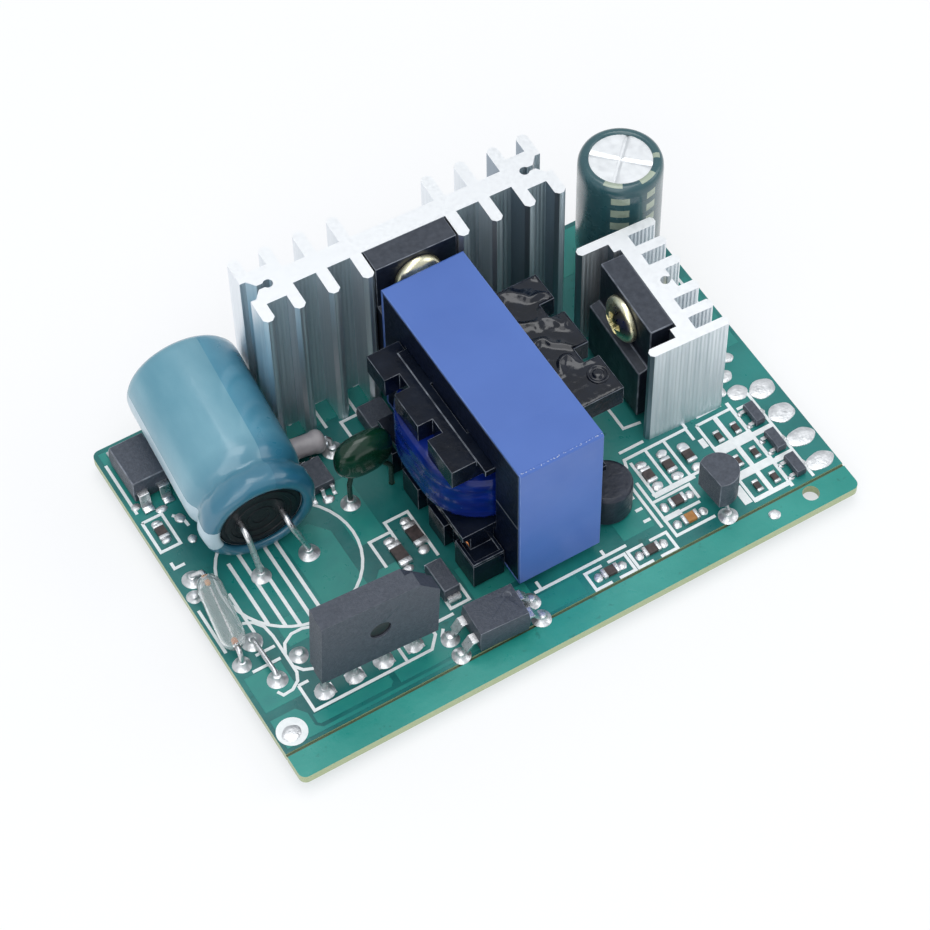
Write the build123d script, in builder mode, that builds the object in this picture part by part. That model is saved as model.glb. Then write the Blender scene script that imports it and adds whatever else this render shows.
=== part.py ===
from build123d import *
import os
from math import atan, cos, degrees, radians, sin

os.makedirs("parts", exist_ok=True)

# An open-frame mains supply for lamps: parts on both ends of one board.
# Places on the board are (u, v): u runs along the front edge from its left corner, v back from it.
# Heights are above the board's top face. Everything is in millimetres.

# Board
board_length = 73.0
board_width = 49.8
board_thickness = 1.2
board_corner_radius = 0.9
rail_width = 3.45
score_depth = 0.25
score_width = 0.36
tooling_hole_diameter = 2.0
tooling_hole_from_right = 5.4
tooling_hole_from_front = 2.1
hole_clearance = 0.1
seat = 0.02

# Joints under the board, which it stands on, and domes on top
joint_drop = 1.6
joint_spread = 0.45
joint_nib = 0.1
dome_spread = 0.95
dome_height = 0.75
board_top = joint_drop + board_thickness

# Large capacitor, lying back over the board
input_cap_radius = 6.97
input_cap_length = 21.9
input_cap_front = (10.62, 27.0)
input_cap_axis_height = 7.32
input_cap_turn = -3.6
input_cap_rise = 2.8
input_cap_lead_pitch = 5.2
input_cap_roll = 13.0
input_cap_lead_reach = 1.3
input_cap_lead_drop = 1.05
input_bung_radius = 5.02
input_cap_holes = [(8.76, 25.05), (14.82, 24.94)]
capacitor_lead_diameter = 0.7
sleeve_thickness = 0.15
bung_inset = 0.35
bung_depth = 3.0
crimp_place = 3.6
crimp_side = 0.75
can_edge = 0.6
wire_sides = 6
vent_score_width = 0.3
vent_score_depth = 0.2
back_lip_width = 1.3

# Small capacitor, standing
output_cap_radius = 5.0
output_cap_height = 20.1
output_cap_place = (board_length - 6.7, board_width - 8.5)
output_cap_lead_pitch = 5.0
output_cap_lead_diameter = 0.6
output_bung_radius = 3.6

# Bridge rectifier, standing clear of the board on four leads
bridge_width = 14.4
bridge_height = 10.6
bridge_thickness = 3.0
bridge_back_step = 0.12
bridge_back_thickness = 1.1
bridge_chamfer = 2.45
bridge_dimple_diameter = 2.6
bridge_dimple_depth = 0.3
bridge_corner = (6.55, 6.8)
bridge_clear_height = 4.6
bridge_turn = -1.3
bridge_lean = -2.8
bridge_lead_diameter = 0.8
bridge_lead_depth = 1.5
bridge_lead_pitch = 3.75
bridge_lead_count = 4
bridge_first_lead = (7.5, 8.35)

# Large heatsink: an extrusion with fins on both faces and hooked ends
sink_corner = (18.81, 39.14)
sink_turn = -1.96
sink_height = 23.9
sink_to_output_cap = 4.43
sink_width = output_cap_place[0] - output_cap_radius - sink_to_output_cap - sink_corner[0]
sink_depth = 9.66
sink_plate_front = 3.55
sink_end_front = 2.35
sink_end_width = 4.2
sink_fin_thickness = 1.4
sink_bay_half_width = 6.01
sink_fin_pitch = 4.24
fin_corner_share = 0.3
sink_slot_inset = 2.8
sink_slot_diameter = 1.15
sink_slot_neck = 0.6
sink_slot_mouth = 2.7
sink_pin_height = 6.0
pin_clearance = 0.05

# Small heatsink: a plate between two ribbed walls, with fins on one face
side_sink_corner = (55.63, 18.51)
side_sink_turn = -2.6
side_sink_height = 16.05
side_sink_width = 10.2
side_sink_depth = 17.5
side_sink_start = -0.57
side_wall_thickness = 1.2
side_plate_left = 3.75
side_plate_thickness = 2.6
side_recess_depth = 0.85
side_recess_length = 12.5
side_fin_thickness = 1.3
side_fin_length = 9.9
side_fin_inner = 2.09
side_fin_outer = 5.16
side_slot_from_plate = 0.5

# Power devices in moulded packages, each screwed to its heatsink
device_height = 15.0
device_thickness = 4.3
device_tab_thickness = 3.0
device_tab_height = 7.0
device_tab_slope = 0.4
device_screw_drop = 3.6
device_lead_pitch = 2.54
device_lead_width = 0.8
device_lead_thickness = 0.55
device_lead_back = 2.5
device_lead_bury = 1.0
device_hole_diameter = 1.0
transistor_width = 10.2
rectifier_width = 11.3
rectifier_place = 8.1
screw_diameter = 3.0
screw_clearance = 0.12
screw_head_diameter = 5.8
screw_head_height = 1.4
screw_head_edge = 0.7
screw_cross_width = 0.9
screw_cross_length = 3.4
screw_cross_depth = 0.7
screw_end = 0.4

# Transformer
core_middle = (37.6, 22.76)
core_length = 28.7
core_width = 10.5
core_half_height = 10.3
core_yoke = 4.4
core_leg = 4.85
core_centre_leg = 7.5
core_bottom_height = 1.85
tape_thickness = 0.35
bobbin_clearance = 0.12
bobbin_wall = 1.0
flange_top_height = 17.8
flange_thickness = 2.9
flange_thin = 0.9
flange_left_reach = 9.5
flange_right_reach = 12.5
flange_length = 18.4
flange_slot_depth = 1.9
flange_slot_width = 2.1
flange_slot_pitch = 7.15
flange_slot_shift = 0.6
flange_shift = 1.65
pin_rail_top = 4.3
pin_rail_bottom = 0.3
pin_rail_reach = 9.4
pin_rail_middle = 22.1
pin_rail_left_length = 22.0
pin_rail_right_start = 16.2
pin_rail_slot_width = 2.3
pin_rail_slot_depth = 1.2
coil_width = 20.4
coil_length = 18.3
coil_corner_radius = 7.0
coil_edge = 0.6
transformer_pin_diameter = 0.8
transformer_pin_pitch = 5.75
transformer_pin_count = 4
transformer_pin_reach = 8.2
transformer_pin_cover = 0.8

# Coupler beside the bridge, with its leads spread wide
coupler_length = 6.3
coupler_width = 4.6
coupler_bottom = 0.7
coupler_height = 3.5
coupler_place = (27.6, 5.35)
coupler_turn = -3.0
coupler_hole_spread = 10.16
coupler_lead_pitch = 2.54
coupler_lead_width = 1.3
coupler_lead_narrow = 0.55
coupler_lead_thickness = 0.3
coupler_lead_bury = 0.4
coupler_lead_level = 1.3
coupler_blade_end = 0.5
coupler_tail_start = 0.8
coupler_tail_share = 0.65
coupler_dimple_radius = 0.45
coupler_dimple_depth = 0.3
coupler_dimple_inset = (1.2, 1.3)
mould_draft = 5

# Second four-lead block, rear left, on surface pads
block_place = (3.4, 43.95)
block_reach = 4.95
block_bottom = 0.3
block_lead_level = 0.6
block_lead_foot = 0.9

# Controller in a flat eight-lead package
controller_place = (19.4, 33.1)
controller_length = 4.9
controller_width = 3.9
controller_top = 1.6
controller_standoff = 0.15
controller_lead_pitch = 1.27
controller_lead_width = 0.42
controller_lead_reach = 1.05
controller_lead_thickness = 0.2
controller_lead_level = 0.3
controller_lead_fall = 0.5
controller_columns = (-1.5, -0.5, 0.5, 1.5)

# Dipped film capacitor
film_length = 7.4
film_height = 6.3
film_thickness = 3.6
film_place = (24.25, 28.4)
film_middle_height = 8.3
film_holes = [(22.2, 28.3), (27.6, 28.3)]
film_lead_diameter = 0.6
film_corner_radius = 2.65
film_edge = 1.1
film_lead_bury = 1.6
film_lead_level = 0.2
film_lead_bend = 0.48

# Fuse in a glass tube, on its own leads
fuse_front = (1.6, 17.45)
fuse_rear = (2.75, 26.2)
fuse_axis_height = 2.2
fuse_radius = 1.7
fuse_wall = 0.45
fuse_seal_radius = 0.55
fuse_holes = [(1.38, 15.9), (1.9, 28.5)]
fuse_lead_diameter = 0.6
fuse_element_diameter = 0.2
fuse_seal_depth = 0.9
fuse_end = 0.5
fuse_lead_run = 0.65
fuse_lead_bend = 0.42

# Bare wire link and the lone joint beside it
link_holes = [(3.7, 17.85), (3.8, 12.3)]
link_height = 1.1
link_diameter = 0.6
lone_joints = [(7.3, 13.7), (0.98, 26.4)]

# Regulator in a half-round package
half_round_width = 4.7
half_round_depth = 3.6
half_round_height = 4.3
half_round_bottom = 1.9
half_round_lead = 0.45
half_round_foot_pitch = 1.27
regulator_place = (57.9, 6.95)
regulator_turn = 93.6
regulator_pitch = 2.54
regulator_lead_bury = 1.0
regulator_lead_level = 0.1
regulator_lead_bend = 0.32

# Choke
choke_place = (46.8, 12.9)
choke_radius = 3.0
choke_height = 5.0
choke_bottom = 0.1
choke_edge = 0.35
choke_lead_diameter = 0.6
choke_lead_pitch = 2.5
choke_lead_bury = 1.0

# Axial resistor and the two box-shaped diodes
resistor_place = (20.8, 37.0)
resistor_turn = -8.0
resistor_radius = 1.45
resistor_length = 5.6
resistor_axis_height = 1.6
resistor_holes = [(17.2, 38.05), (24.0, 35.6)]
resistor_lead_diameter = 0.6
resistor_lead_run = 0.5
resistor_end_length = 1.3
resistor_waist = 0.18
resistor_end = 0.45
resistor_lead_drop = 0.45
resistor_lead_bend = 0.36
box_diode_place = (30.3, 36.35)
box_diode_size = (3.4, 3.7, 2.3)
slim_diode_place = (25.5, 13.35)
slim_diode_size = (2.2, 4.4, 2.2)
diode_tab_width = 1.6
diode_tab_reach = 0.5
diode_tab_height = 1.1

# Chip parts: length, width and height of each size, and the rows they stand in
large_chip = (3.2, 1.6, 0.6)
middle_chip = (2.1, 1.25, 0.5)
small_chip = (1.6, 0.8, 0.45)
chip_end_share = 0.22
chip_end_overlap = 0.05
output_grid_middle = (64.05, 10.0)
output_grid_pitch = (2.35, 4.0)
triple_row_middle = (55.8, 13.7)
triple_row_pitch = 2.7
sense_row = [(42.4, 5.05), (47.9, 5.1)]
feedback_chip = (54.0, 9.1)
start_chips = [(23.4, 19.3), (26.2, 20.7)]
start_chip_turn = 92.0
orange_chip = (54.0, 6.4)
rear_chip = (1.9, 36.0)
sot_column = board_length - 5.0
sot_rows = [6.0, 10.0, 14.35]
sot_lead_pitch = 1.9
sot_size = (1.3, 2.9, 1.1)
sot_lead_width = 0.45
sot_lead_reach = 0.6
sot_lead_height = 0.5

# Tinned pads on the top face
output_pad_column = board_length - 1.95
output_pad_first = 5.3
output_pad_pitch = 3.93
output_pad_count = 4
output_pad_size = (3.2, 2.0)
side_pads = [(68.3, 20.9), (68.25, 18.15), (66.65, 19.1), (70.0, 23.0)]
side_pad_diameter = 1.7
input_pad = (1.75, 5.55)
input_pad_size = (2.6, 2.1)
pad_rise = 0.22
pad_corner = 0.6


def board_plane(u, v, h=0.0, turn=0.0):
    """A plane parallel to the board, its x axis turned from the front edge."""
    return Plane(
        origin=(u - board_length / 2, v - board_width / 2, board_top + h),
        x_dir=(cos(radians(turn)), sin(radians(turn)), 0),
        z_dir=(0, 0, 1),
    )


def wall_plane(u, v, h=0.0, turn=0.0):
    """An upright plane that faces the front edge, x along the board and y up."""
    return Plane(
        origin=(u - board_length / 2, v - board_width / 2, board_top + h),
        x_dir=(cos(radians(turn)), sin(radians(turn)), 0),
        z_dir=(sin(radians(turn)), -cos(radians(turn)), 0),
    )


def point(u, v, h):
    """A point over the board."""
    return (u - board_length / 2, v - board_width / 2, board_top + h)


def turned(corner, turn, x, y):
    """The place on the board of a point given in a turned frame."""
    u = corner[0] + x * cos(radians(turn)) - y * sin(radians(turn))
    v = corner[1] + x * sin(radians(turn)) + y * cos(radians(turn))
    return (u, v)


def bent_wire(points, diameter, bend):
    """Wire through the points, each corner eased by two small bends."""
    corners = [Vector(*spot) for spot in points]
    eased = [corners[0]]
    for before, corner, after in zip(corners, corners[1:], corners[2:]):
        eased.append(corner + (before - corner).normalized() * bend)
        eased.append(corner + (after - corner).normalized() * bend)
    eased.append(corners[-1])
    with BuildPart() as wire:
        with BuildLine() as route:
            Polyline(*eased)
        with BuildSketch(Plane(origin=route.line @ 0, z_dir=route.line % 0)):
            RegularPolygon(diameter / 2, wire_sides)
        sweep(transition=Transition.RIGHT)
    return wire.part


def pegs(spots, diameter, low, high):
    """Straight leads between two heights."""
    with BuildPart() as group:
        with BuildSketch(board_plane(0, 0, low)):
            with Locations(*spots):
                RegularPolygon(diameter / 2, wire_sides)
        extrude(amount=high - low)
    return group.part


def solder_cones(spots, low_radius, high_radius, low, high):
    """Cones of solder between two heights, drawn with few sides."""
    slope = degrees(atan((low_radius - high_radius) / (high - low)))
    with BuildPart() as cones:
        with BuildSketch(board_plane(0, 0, low)):
            with Locations(*spots):
                RegularPolygon(low_radius, wire_sides)
        extrude(amount=high - low, taper=slope)
    return cones.part


def blunt_bar(length, thickness, turn=0):
    """The section of a fin whose corners are rounded off."""
    with BuildSketch() as bar:
        Rectangle(length, thickness)
        chamfer(bar.vertices(), length=thickness * fin_corner_share)
    return bar.sketch.rotate(Axis.Z, turn)


def spun(plane, angle):
    """The same plane turned about its own normal."""
    across = plane.x_dir * cos(radians(angle)) + plane.y_dir * sin(radians(angle))
    return Plane(origin=plane.origin, x_dir=across, z_dir=plane.z_dir)


def side_on(plane):
    """The plane through the same origin with its x along the old normal and the same y."""
    return Plane(origin=plane.origin, x_dir=plane.z_dir, z_dir=-plane.x_dir)


def can_outline(plane, radius, length, crimp):
    """Half section of a crimped can, filled to its axis, standing on the plane's origin."""
    with BuildSketch(Plane(origin=plane.origin, x_dir=plane.x_dir, z_dir=-plane.y_dir)) as section:
        Rectangle(radius, length, align=(Align.MIN, Align.MIN))
        chamfer(section.vertices().group_by(Axis.X)[-1], length=can_edge)
        with Locations((radius, crimp)):
            Rectangle(crimp_side, crimp_side, rotation=45, mode=Mode.SUBTRACT)
    return section.sketch


# The large capacitor's own plane: z runs along its axis, from the bung to the vented end
input_cap_plane = Plane(
    origin=point(*input_cap_front, input_cap_axis_height),
    x_dir=(cos(radians(input_cap_turn)), sin(radians(input_cap_turn)), 0),
    z_dir=(
        -sin(radians(input_cap_turn)) * cos(radians(input_cap_rise)),
        cos(radians(input_cap_turn)) * cos(radians(input_cap_rise)),
        sin(radians(input_cap_rise)),
    ),
)
output_cap_plane = board_plane(*output_cap_place)

# Where each lead goes through the board
bridge_holes = [
    (bridge_first_lead[0] + i * bridge_lead_pitch, bridge_first_lead[1]) for i in range(bridge_lead_count)
]
output_cap_holes = [
    (output_cap_place[0] + side * output_cap_lead_pitch / 2, output_cap_place[1]) for side in (-1, 1)
]
transistor_middle = sink_width / 2
transistor_lead_line = sink_plate_front - device_lead_back
transistor_holes = [
    turned(sink_corner, sink_turn, transistor_middle + i * device_lead_pitch, transistor_lead_line)
    for i in (-1, 0, 1)
]
rectifier_back = side_plate_left + side_recess_depth
rectifier_lead_line = rectifier_back - device_lead_back
rectifier_holes = [
    turned(side_sink_corner, side_sink_turn, rectifier_lead_line, rectifier_place + i * device_lead_pitch)
    for i in (-1, 0, 1)
]
sink_slot_line = sink_depth / 2
sink_pin_holes = [
    turned(sink_corner, sink_turn, x, sink_slot_line)
    for x in (sink_slot_inset, sink_width - sink_slot_inset)
]
side_slot_inset = side_plate_left + side_plate_thickness + side_slot_from_plate
side_slot_line = side_sink_start + side_sink_depth / 2
side_pin_hole = turned(side_sink_corner, side_sink_turn, side_slot_inset, side_slot_line)
transformer_holes = [
    (core_middle[0] + side * transformer_pin_reach, pin_rail_middle + (i - 1.5) * transformer_pin_pitch)
    for side, first in ((-1, 0), (1, 1))
    for i in range(first, transformer_pin_count)
]
coupler_holes = [
    turned(coupler_place, coupler_turn, side * coupler_hole_spread / 2, row * coupler_lead_pitch / 2)
    for side in (-1, 1)
    for row in (-1, 1)
]
regulator_holes = [
    turned(regulator_place, regulator_turn, i * regulator_pitch, 0) for i in (-1, 0, 1)
]
choke_holes = [(choke_place[0] + side * choke_lead_pitch / 2, choke_place[1]) for side in (-1, 1)]
slot_pin_diameter = sink_slot_diameter - 2 * pin_clearance
joint_groups = [
    (input_cap_holes, capacitor_lead_diameter),
    (output_cap_holes, output_cap_lead_diameter),
    (bridge_holes, bridge_lead_diameter),
    (transistor_holes, device_hole_diameter),
    (rectifier_holes, device_hole_diameter),
    (sink_pin_holes, slot_pin_diameter),
    ([side_pin_hole], slot_pin_diameter),
    (transformer_holes, transformer_pin_diameter),
    (coupler_holes, coupler_lead_narrow),
    (film_holes, film_lead_diameter),
    (fuse_holes, fuse_lead_diameter),
    (link_holes, link_diameter),
    (lone_joints, link_diameter),
    (regulator_holes, half_round_lead),
    (choke_holes, choke_lead_diameter),
    (resistor_holes, resistor_lead_diameter),
]

# Circuit board
with BuildPart() as circuit_board:
    with BuildSketch(Plane.XY.offset(joint_drop)) as outline:
        RectangleRounded(board_length, board_width, board_corner_radius)
        with Locations((
            board_length / 2 - tooling_hole_from_right,
            tooling_hole_from_front - board_width / 2,
        )):
            Circle(tooling_hole_diameter / 2, mode=Mode.SUBTRACT)
    extrude(amount=board_thickness)
    with BuildSketch(Plane.YZ.offset(-board_length / 2)):
        for face_height in (joint_drop, board_top):
            with Locations((rail_width - board_width / 2, face_height)):
                Rectangle(score_width, 2 * score_depth)
    extrude(amount=board_length, mode=Mode.SUBTRACT)
    for spots, diameter in joint_groups:
        add(pegs(spots, diameter + 2 * hole_clearance, -board_thickness, 0), mode=Mode.SUBTRACT)
circuit_board.part.label = "circuit_board"
export_step(circuit_board.part, "parts/circuit_board.step")

# Joints under the board: a cone of solder round each clipped lead
with BuildPart() as solder_joints_below:
    for spots, diameter in joint_groups:
        spread = diameter / 2 + joint_spread
        with BuildSketch(board_plane(0, 0, -board_thickness)):
            with Locations(*spots):
                RegularPolygon(spread, wire_sides)
        extrude(amount=-joint_drop, taper=degrees(atan((spread - diameter / 2) / joint_drop)))
solder_joints_below.part.label = "solder_joints_below"
export_step(solder_joints_below.part, "parts/solder_joints_below.step")

# Electrolytic capacitors: a crimped can with a scored end, a shrink sleeve and a rubber bung
with BuildPart() as input_capacitor_can:
    revolve(
        can_outline(
            input_cap_plane.offset(sleeve_thickness),
            input_cap_radius - sleeve_thickness,
            input_cap_length - 2 * sleeve_thickness,
            crimp_place - sleeve_thickness,
        ),
        axis=Axis(input_cap_plane.origin, input_cap_plane.z_dir),
    )
    with Locations(input_cap_plane):
        Cylinder(
            input_bung_radius + seat,
            bung_depth,
            align=(Align.CENTER, Align.CENTER, Align.MIN),
            mode=Mode.SUBTRACT,
        )
    for angle in (45, 135):
        with Locations(spun(input_cap_plane, angle).offset(input_cap_length - sleeve_thickness)):
            Box(input_cap_radius, vent_score_width, 2 * vent_score_depth, mode=Mode.SUBTRACT)
input_capacitor_can.part.label = "input_capacitor_can"
export_step(input_capacitor_can.part, "parts/input_capacitor_can.step")

with BuildPart() as input_capacitor_sleeve:
    revolve(
        can_outline(input_cap_plane, input_cap_radius, input_cap_length, crimp_place),
        axis=Axis(input_cap_plane.origin, input_cap_plane.z_dir),
    )
    with Locations(input_cap_plane):
        Cylinder(
            input_bung_radius + seat,
            input_cap_length / 2,
            align=(Align.CENTER, Align.CENTER, Align.MIN),
            mode=Mode.SUBTRACT,
        )
    with Locations(input_cap_plane.offset(input_cap_length)):
        Cylinder(
            input_cap_radius - back_lip_width,
            input_cap_length / 2,
            align=(Align.CENTER, Align.CENTER, Align.MAX),
            mode=Mode.SUBTRACT,
        )
    add(input_capacitor_can.part, mode=Mode.SUBTRACT)
input_capacitor_sleeve.part.label = "input_capacitor_sleeve"
export_step(input_capacitor_sleeve.part, "parts/input_capacitor_sleeve.step")

input_lead_plane = spun(input_cap_plane, input_cap_roll)
with BuildPart() as input_capacitor_leads:
    for side, (u, v) in zip((-1, 1), input_cap_holes):
        across = side * input_cap_lead_pitch / 2
        add(bent_wire(
            [
                input_lead_plane.from_local_coords((across, 0, bung_depth)),
                input_lead_plane.from_local_coords((across, 0, -input_cap_lead_reach)),
                point(u, v, input_cap_lead_drop),
                point(u, v, -board_thickness),
            ],
            capacitor_lead_diameter,
            capacitor_lead_diameter,
        ))
input_capacitor_leads.part.label = "input_capacitor_leads"
export_step(input_capacitor_leads.part, "parts/input_capacitor_leads.step")

with BuildPart() as input_capacitor_bung:
    with Locations(input_cap_plane.offset(bung_inset)):
        Cylinder(
            input_bung_radius,
            bung_depth - bung_inset,
            align=(Align.CENTER, Align.CENTER, Align.MIN),
        )
    add(input_capacitor_leads.part, mode=Mode.SUBTRACT)
input_capacitor_bung.part.label = "input_capacitor_bung"
export_step(input_capacitor_bung.part, "parts/input_capacitor_bung.step")

with BuildPart() as output_capacitor_can:
    revolve(
        can_outline(
            output_cap_plane.offset(sleeve_thickness),
            output_cap_radius - sleeve_thickness,
            output_cap_height - 2 * sleeve_thickness,
            crimp_place - sleeve_thickness,
        ),
        axis=Axis(output_cap_plane.origin, output_cap_plane.z_dir),
    )
    with Locations(output_cap_plane):
        Cylinder(
            output_bung_radius + seat,
            bung_depth,
            align=(Align.CENTER, Align.CENTER, Align.MIN),
            mode=Mode.SUBTRACT,
        )
    for angle in (45, 135):
        with Locations(spun(output_cap_plane, angle).offset(output_cap_height - sleeve_thickness)):
            Box(output_cap_radius, vent_score_width, 2 * vent_score_depth, mode=Mode.SUBTRACT)
output_capacitor_can.part.label = "output_capacitor_can"
export_step(output_capacitor_can.part, "parts/output_capacitor_can.step")

with BuildPart() as output_capacitor_sleeve:
    revolve(
        can_outline(output_cap_plane, output_cap_radius, output_cap_height, crimp_place),
        axis=Axis(output_cap_plane.origin, output_cap_plane.z_dir),
    )
    with Locations(output_cap_plane):
        Cylinder(
            output_bung_radius + seat,
            output_cap_height / 2,
            align=(Align.CENTER, Align.CENTER, Align.MIN),
            mode=Mode.SUBTRACT,
        )
    with Locations(output_cap_plane.offset(output_cap_height)):
        Cylinder(
            output_cap_radius - back_lip_width,
            output_cap_height / 2,
            align=(Align.CENTER, Align.CENTER, Align.MAX),
            mode=Mode.SUBTRACT,
        )
    add(output_capacitor_can.part, mode=Mode.SUBTRACT)
output_capacitor_sleeve.part.label = "output_capacitor_sleeve"
export_step(output_capacitor_sleeve.part, "parts/output_capacitor_sleeve.step")

with BuildPart() as output_capacitor_leads:
    add(pegs(output_cap_holes, output_cap_lead_diameter, -board_thickness, bung_depth))
output_capacitor_leads.part.label = "output_capacitor_leads"
export_step(output_capacitor_leads.part, "parts/output_capacitor_leads.step")

with BuildPart() as output_capacitor_bung:
    with Locations(output_cap_plane.offset(bung_inset)):
        Cylinder(
            output_bung_radius,
            bung_depth - bung_inset,
            align=(Align.CENTER, Align.CENTER, Align.MIN),
        )
    add(output_capacitor_leads.part, mode=Mode.SUBTRACT)
output_capacitor_bung.part.label = "output_capacitor_bung"
export_step(output_capacitor_bung.part, "parts/output_capacitor_bung.step")

# Bridge rectifier: moulded in two halves, with one corner cut off and a dimple in front
bridge_plane = Plane(
    origin=point(*bridge_corner, bridge_clear_height),
    x_dir=(
        cos(radians(bridge_turn)) * cos(radians(bridge_lean)),
        sin(radians(bridge_turn)) * cos(radians(bridge_lean)),
        sin(radians(bridge_lean)),
    ),
    z_dir=(sin(radians(bridge_turn)), -cos(radians(bridge_turn)), 0),
)
bridge_front_thickness = bridge_thickness - bridge_back_thickness
with BuildPart() as bridge_rectifier_leads:
    add(pegs(bridge_holes, bridge_lead_diameter, -board_thickness, bridge_clear_height + bridge_lead_depth))
bridge_rectifier_leads.part.label = "bridge_rectifier_leads"
export_step(bridge_rectifier_leads.part, "parts/bridge_rectifier_leads.step")

with BuildPart() as bridge_rectifier_body:
    with BuildSketch(bridge_plane) as face:
        Rectangle(bridge_width, bridge_height, align=(Align.MIN, Align.MIN))
        chamfer(face.vertices().group_by(Axis.Y)[-1].sort_by(Axis.X)[-1], bridge_chamfer)
    extrude(amount=-bridge_front_thickness)
    with BuildSketch(bridge_plane.offset(-bridge_front_thickness)):
        with Locations((bridge_back_step, bridge_back_step)):
            Rectangle(
                bridge_width - 2 * bridge_back_step,
                bridge_height - 2 * bridge_back_step,
                align=(Align.MIN, Align.MIN),
            )
        with Locations((bridge_width, bridge_height)):
            Rectangle(
                2 * bridge_chamfer,
                2 * bridge_chamfer,
                rotation=45,
                mode=Mode.SUBTRACT,
            )
    extrude(amount=-bridge_back_thickness)
    with BuildSketch(bridge_plane):
        with Locations((bridge_width / 2, bridge_height / 2)):
            Circle(bridge_dimple_diameter / 2)
    extrude(amount=-bridge_dimple_depth, mode=Mode.SUBTRACT)
    add(bridge_rectifier_leads.part, mode=Mode.SUBTRACT)
bridge_rectifier_body.part.label = "bridge_rectifier_body"
export_step(bridge_rectifier_body.part, "parts/bridge_rectifier_body.step")

# Heatsinks: aluminium extrusions that stand on the board and are held by pins in their round slots
sink_plane = board_plane(*sink_corner, 0, sink_turn)
sink_plate_thickness = sink_depth - 2 * sink_plate_front
sink_fins = [
    transistor_middle + side * (sink_bay_half_width + i * sink_fin_pitch)
    for side in (-1, 1)
    for i in range(3)
] + [sink_fin_thickness / 2, sink_width - sink_fin_thickness / 2]

with BuildPart() as main_heatsink_pins:
    add(pegs(sink_pin_holes, slot_pin_diameter, -board_thickness, sink_pin_height))
main_heatsink_pins.part.label = "main_heatsink_pins"
export_step(main_heatsink_pins.part, "parts/main_heatsink_pins.step")

with BuildPart() as main_heatsink:
    with BuildSketch(sink_plane):
        with Locations((sink_width / 2, sink_depth / 2)):
            Rectangle(sink_width - sink_fin_thickness, sink_plate_thickness)
        with Locations(*[(x, sink_depth / 2) for x in sink_fins]):
            add(blunt_bar(sink_depth, sink_fin_thickness, 90))
        with Locations(
            (sink_end_width / 2 + sink_fin_thickness / 2, sink_depth / 2),
            (sink_width - sink_end_width / 2 - sink_fin_thickness / 2, sink_depth / 2),
        ):
            Rectangle(sink_end_width, sink_depth - 2 * sink_end_front)
        with Locations(
            (sink_slot_inset, sink_depth / 2),
            (sink_width - sink_slot_inset, sink_depth / 2),
        ):
            Circle(sink_slot_diameter / 2, mode=Mode.SUBTRACT)
        with Locations(
            (sink_slot_inset / 2, sink_depth / 2),
            (sink_width - sink_slot_inset / 2, sink_depth / 2),
        ):
            Rectangle(sink_slot_inset, sink_slot_neck, mode=Mode.SUBTRACT)
        for edge, inward in ((0, 1), (sink_width, -1)):
            with BuildLine():
                Polyline(
                    (edge - inward, sink_depth / 2 - sink_slot_mouth / 2),
                    (edge + inward * sink_fin_thickness / 2, sink_depth / 2 - sink_slot_mouth / 2),
                    (edge + inward * (sink_slot_inset - 1), sink_depth / 2),
                    (edge + inward * sink_fin_thickness / 2, sink_depth / 2 + sink_slot_mouth / 2),
                    (edge - inward, sink_depth / 2 + sink_slot_mouth / 2),
                    close=True,
                )
            make_face(mode=Mode.SUBTRACT)
    extrude(amount=sink_height)
    with Locations(
        wall_plane(
            *turned(sink_corner, sink_turn, transistor_middle, 0),
            sink_height - device_screw_drop,
            sink_turn,
        )
    ):
        Cylinder(
            screw_diameter / 2 + pin_clearance,
            sink_depth,
            align=(Align.CENTER, Align.CENTER, Align.MAX),
            mode=Mode.SUBTRACT,
        )
main_heatsink.part.label = "main_heatsink"
export_step(main_heatsink.part, "parts/main_heatsink.step")

side_sink_plane = board_plane(*side_sink_corner, 0, side_sink_turn)
side_sink_end = side_sink_start + side_sink_depth
side_plate_right = side_plate_left + side_plate_thickness
side_fin_shifts = (-side_fin_outer, -side_fin_inner, side_fin_inner, side_fin_outer)
side_fins = [side_slot_line + shift for shift in side_fin_shifts]
side_fin_root = side_plate_right - side_fin_thickness

with BuildPart() as small_heatsink_pin:
    add(pegs([side_pin_hole], slot_pin_diameter, -board_thickness, sink_pin_height))
small_heatsink_pin.part.label = "small_heatsink_pin"
export_step(small_heatsink_pin.part, "parts/small_heatsink_pin.step")

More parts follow.
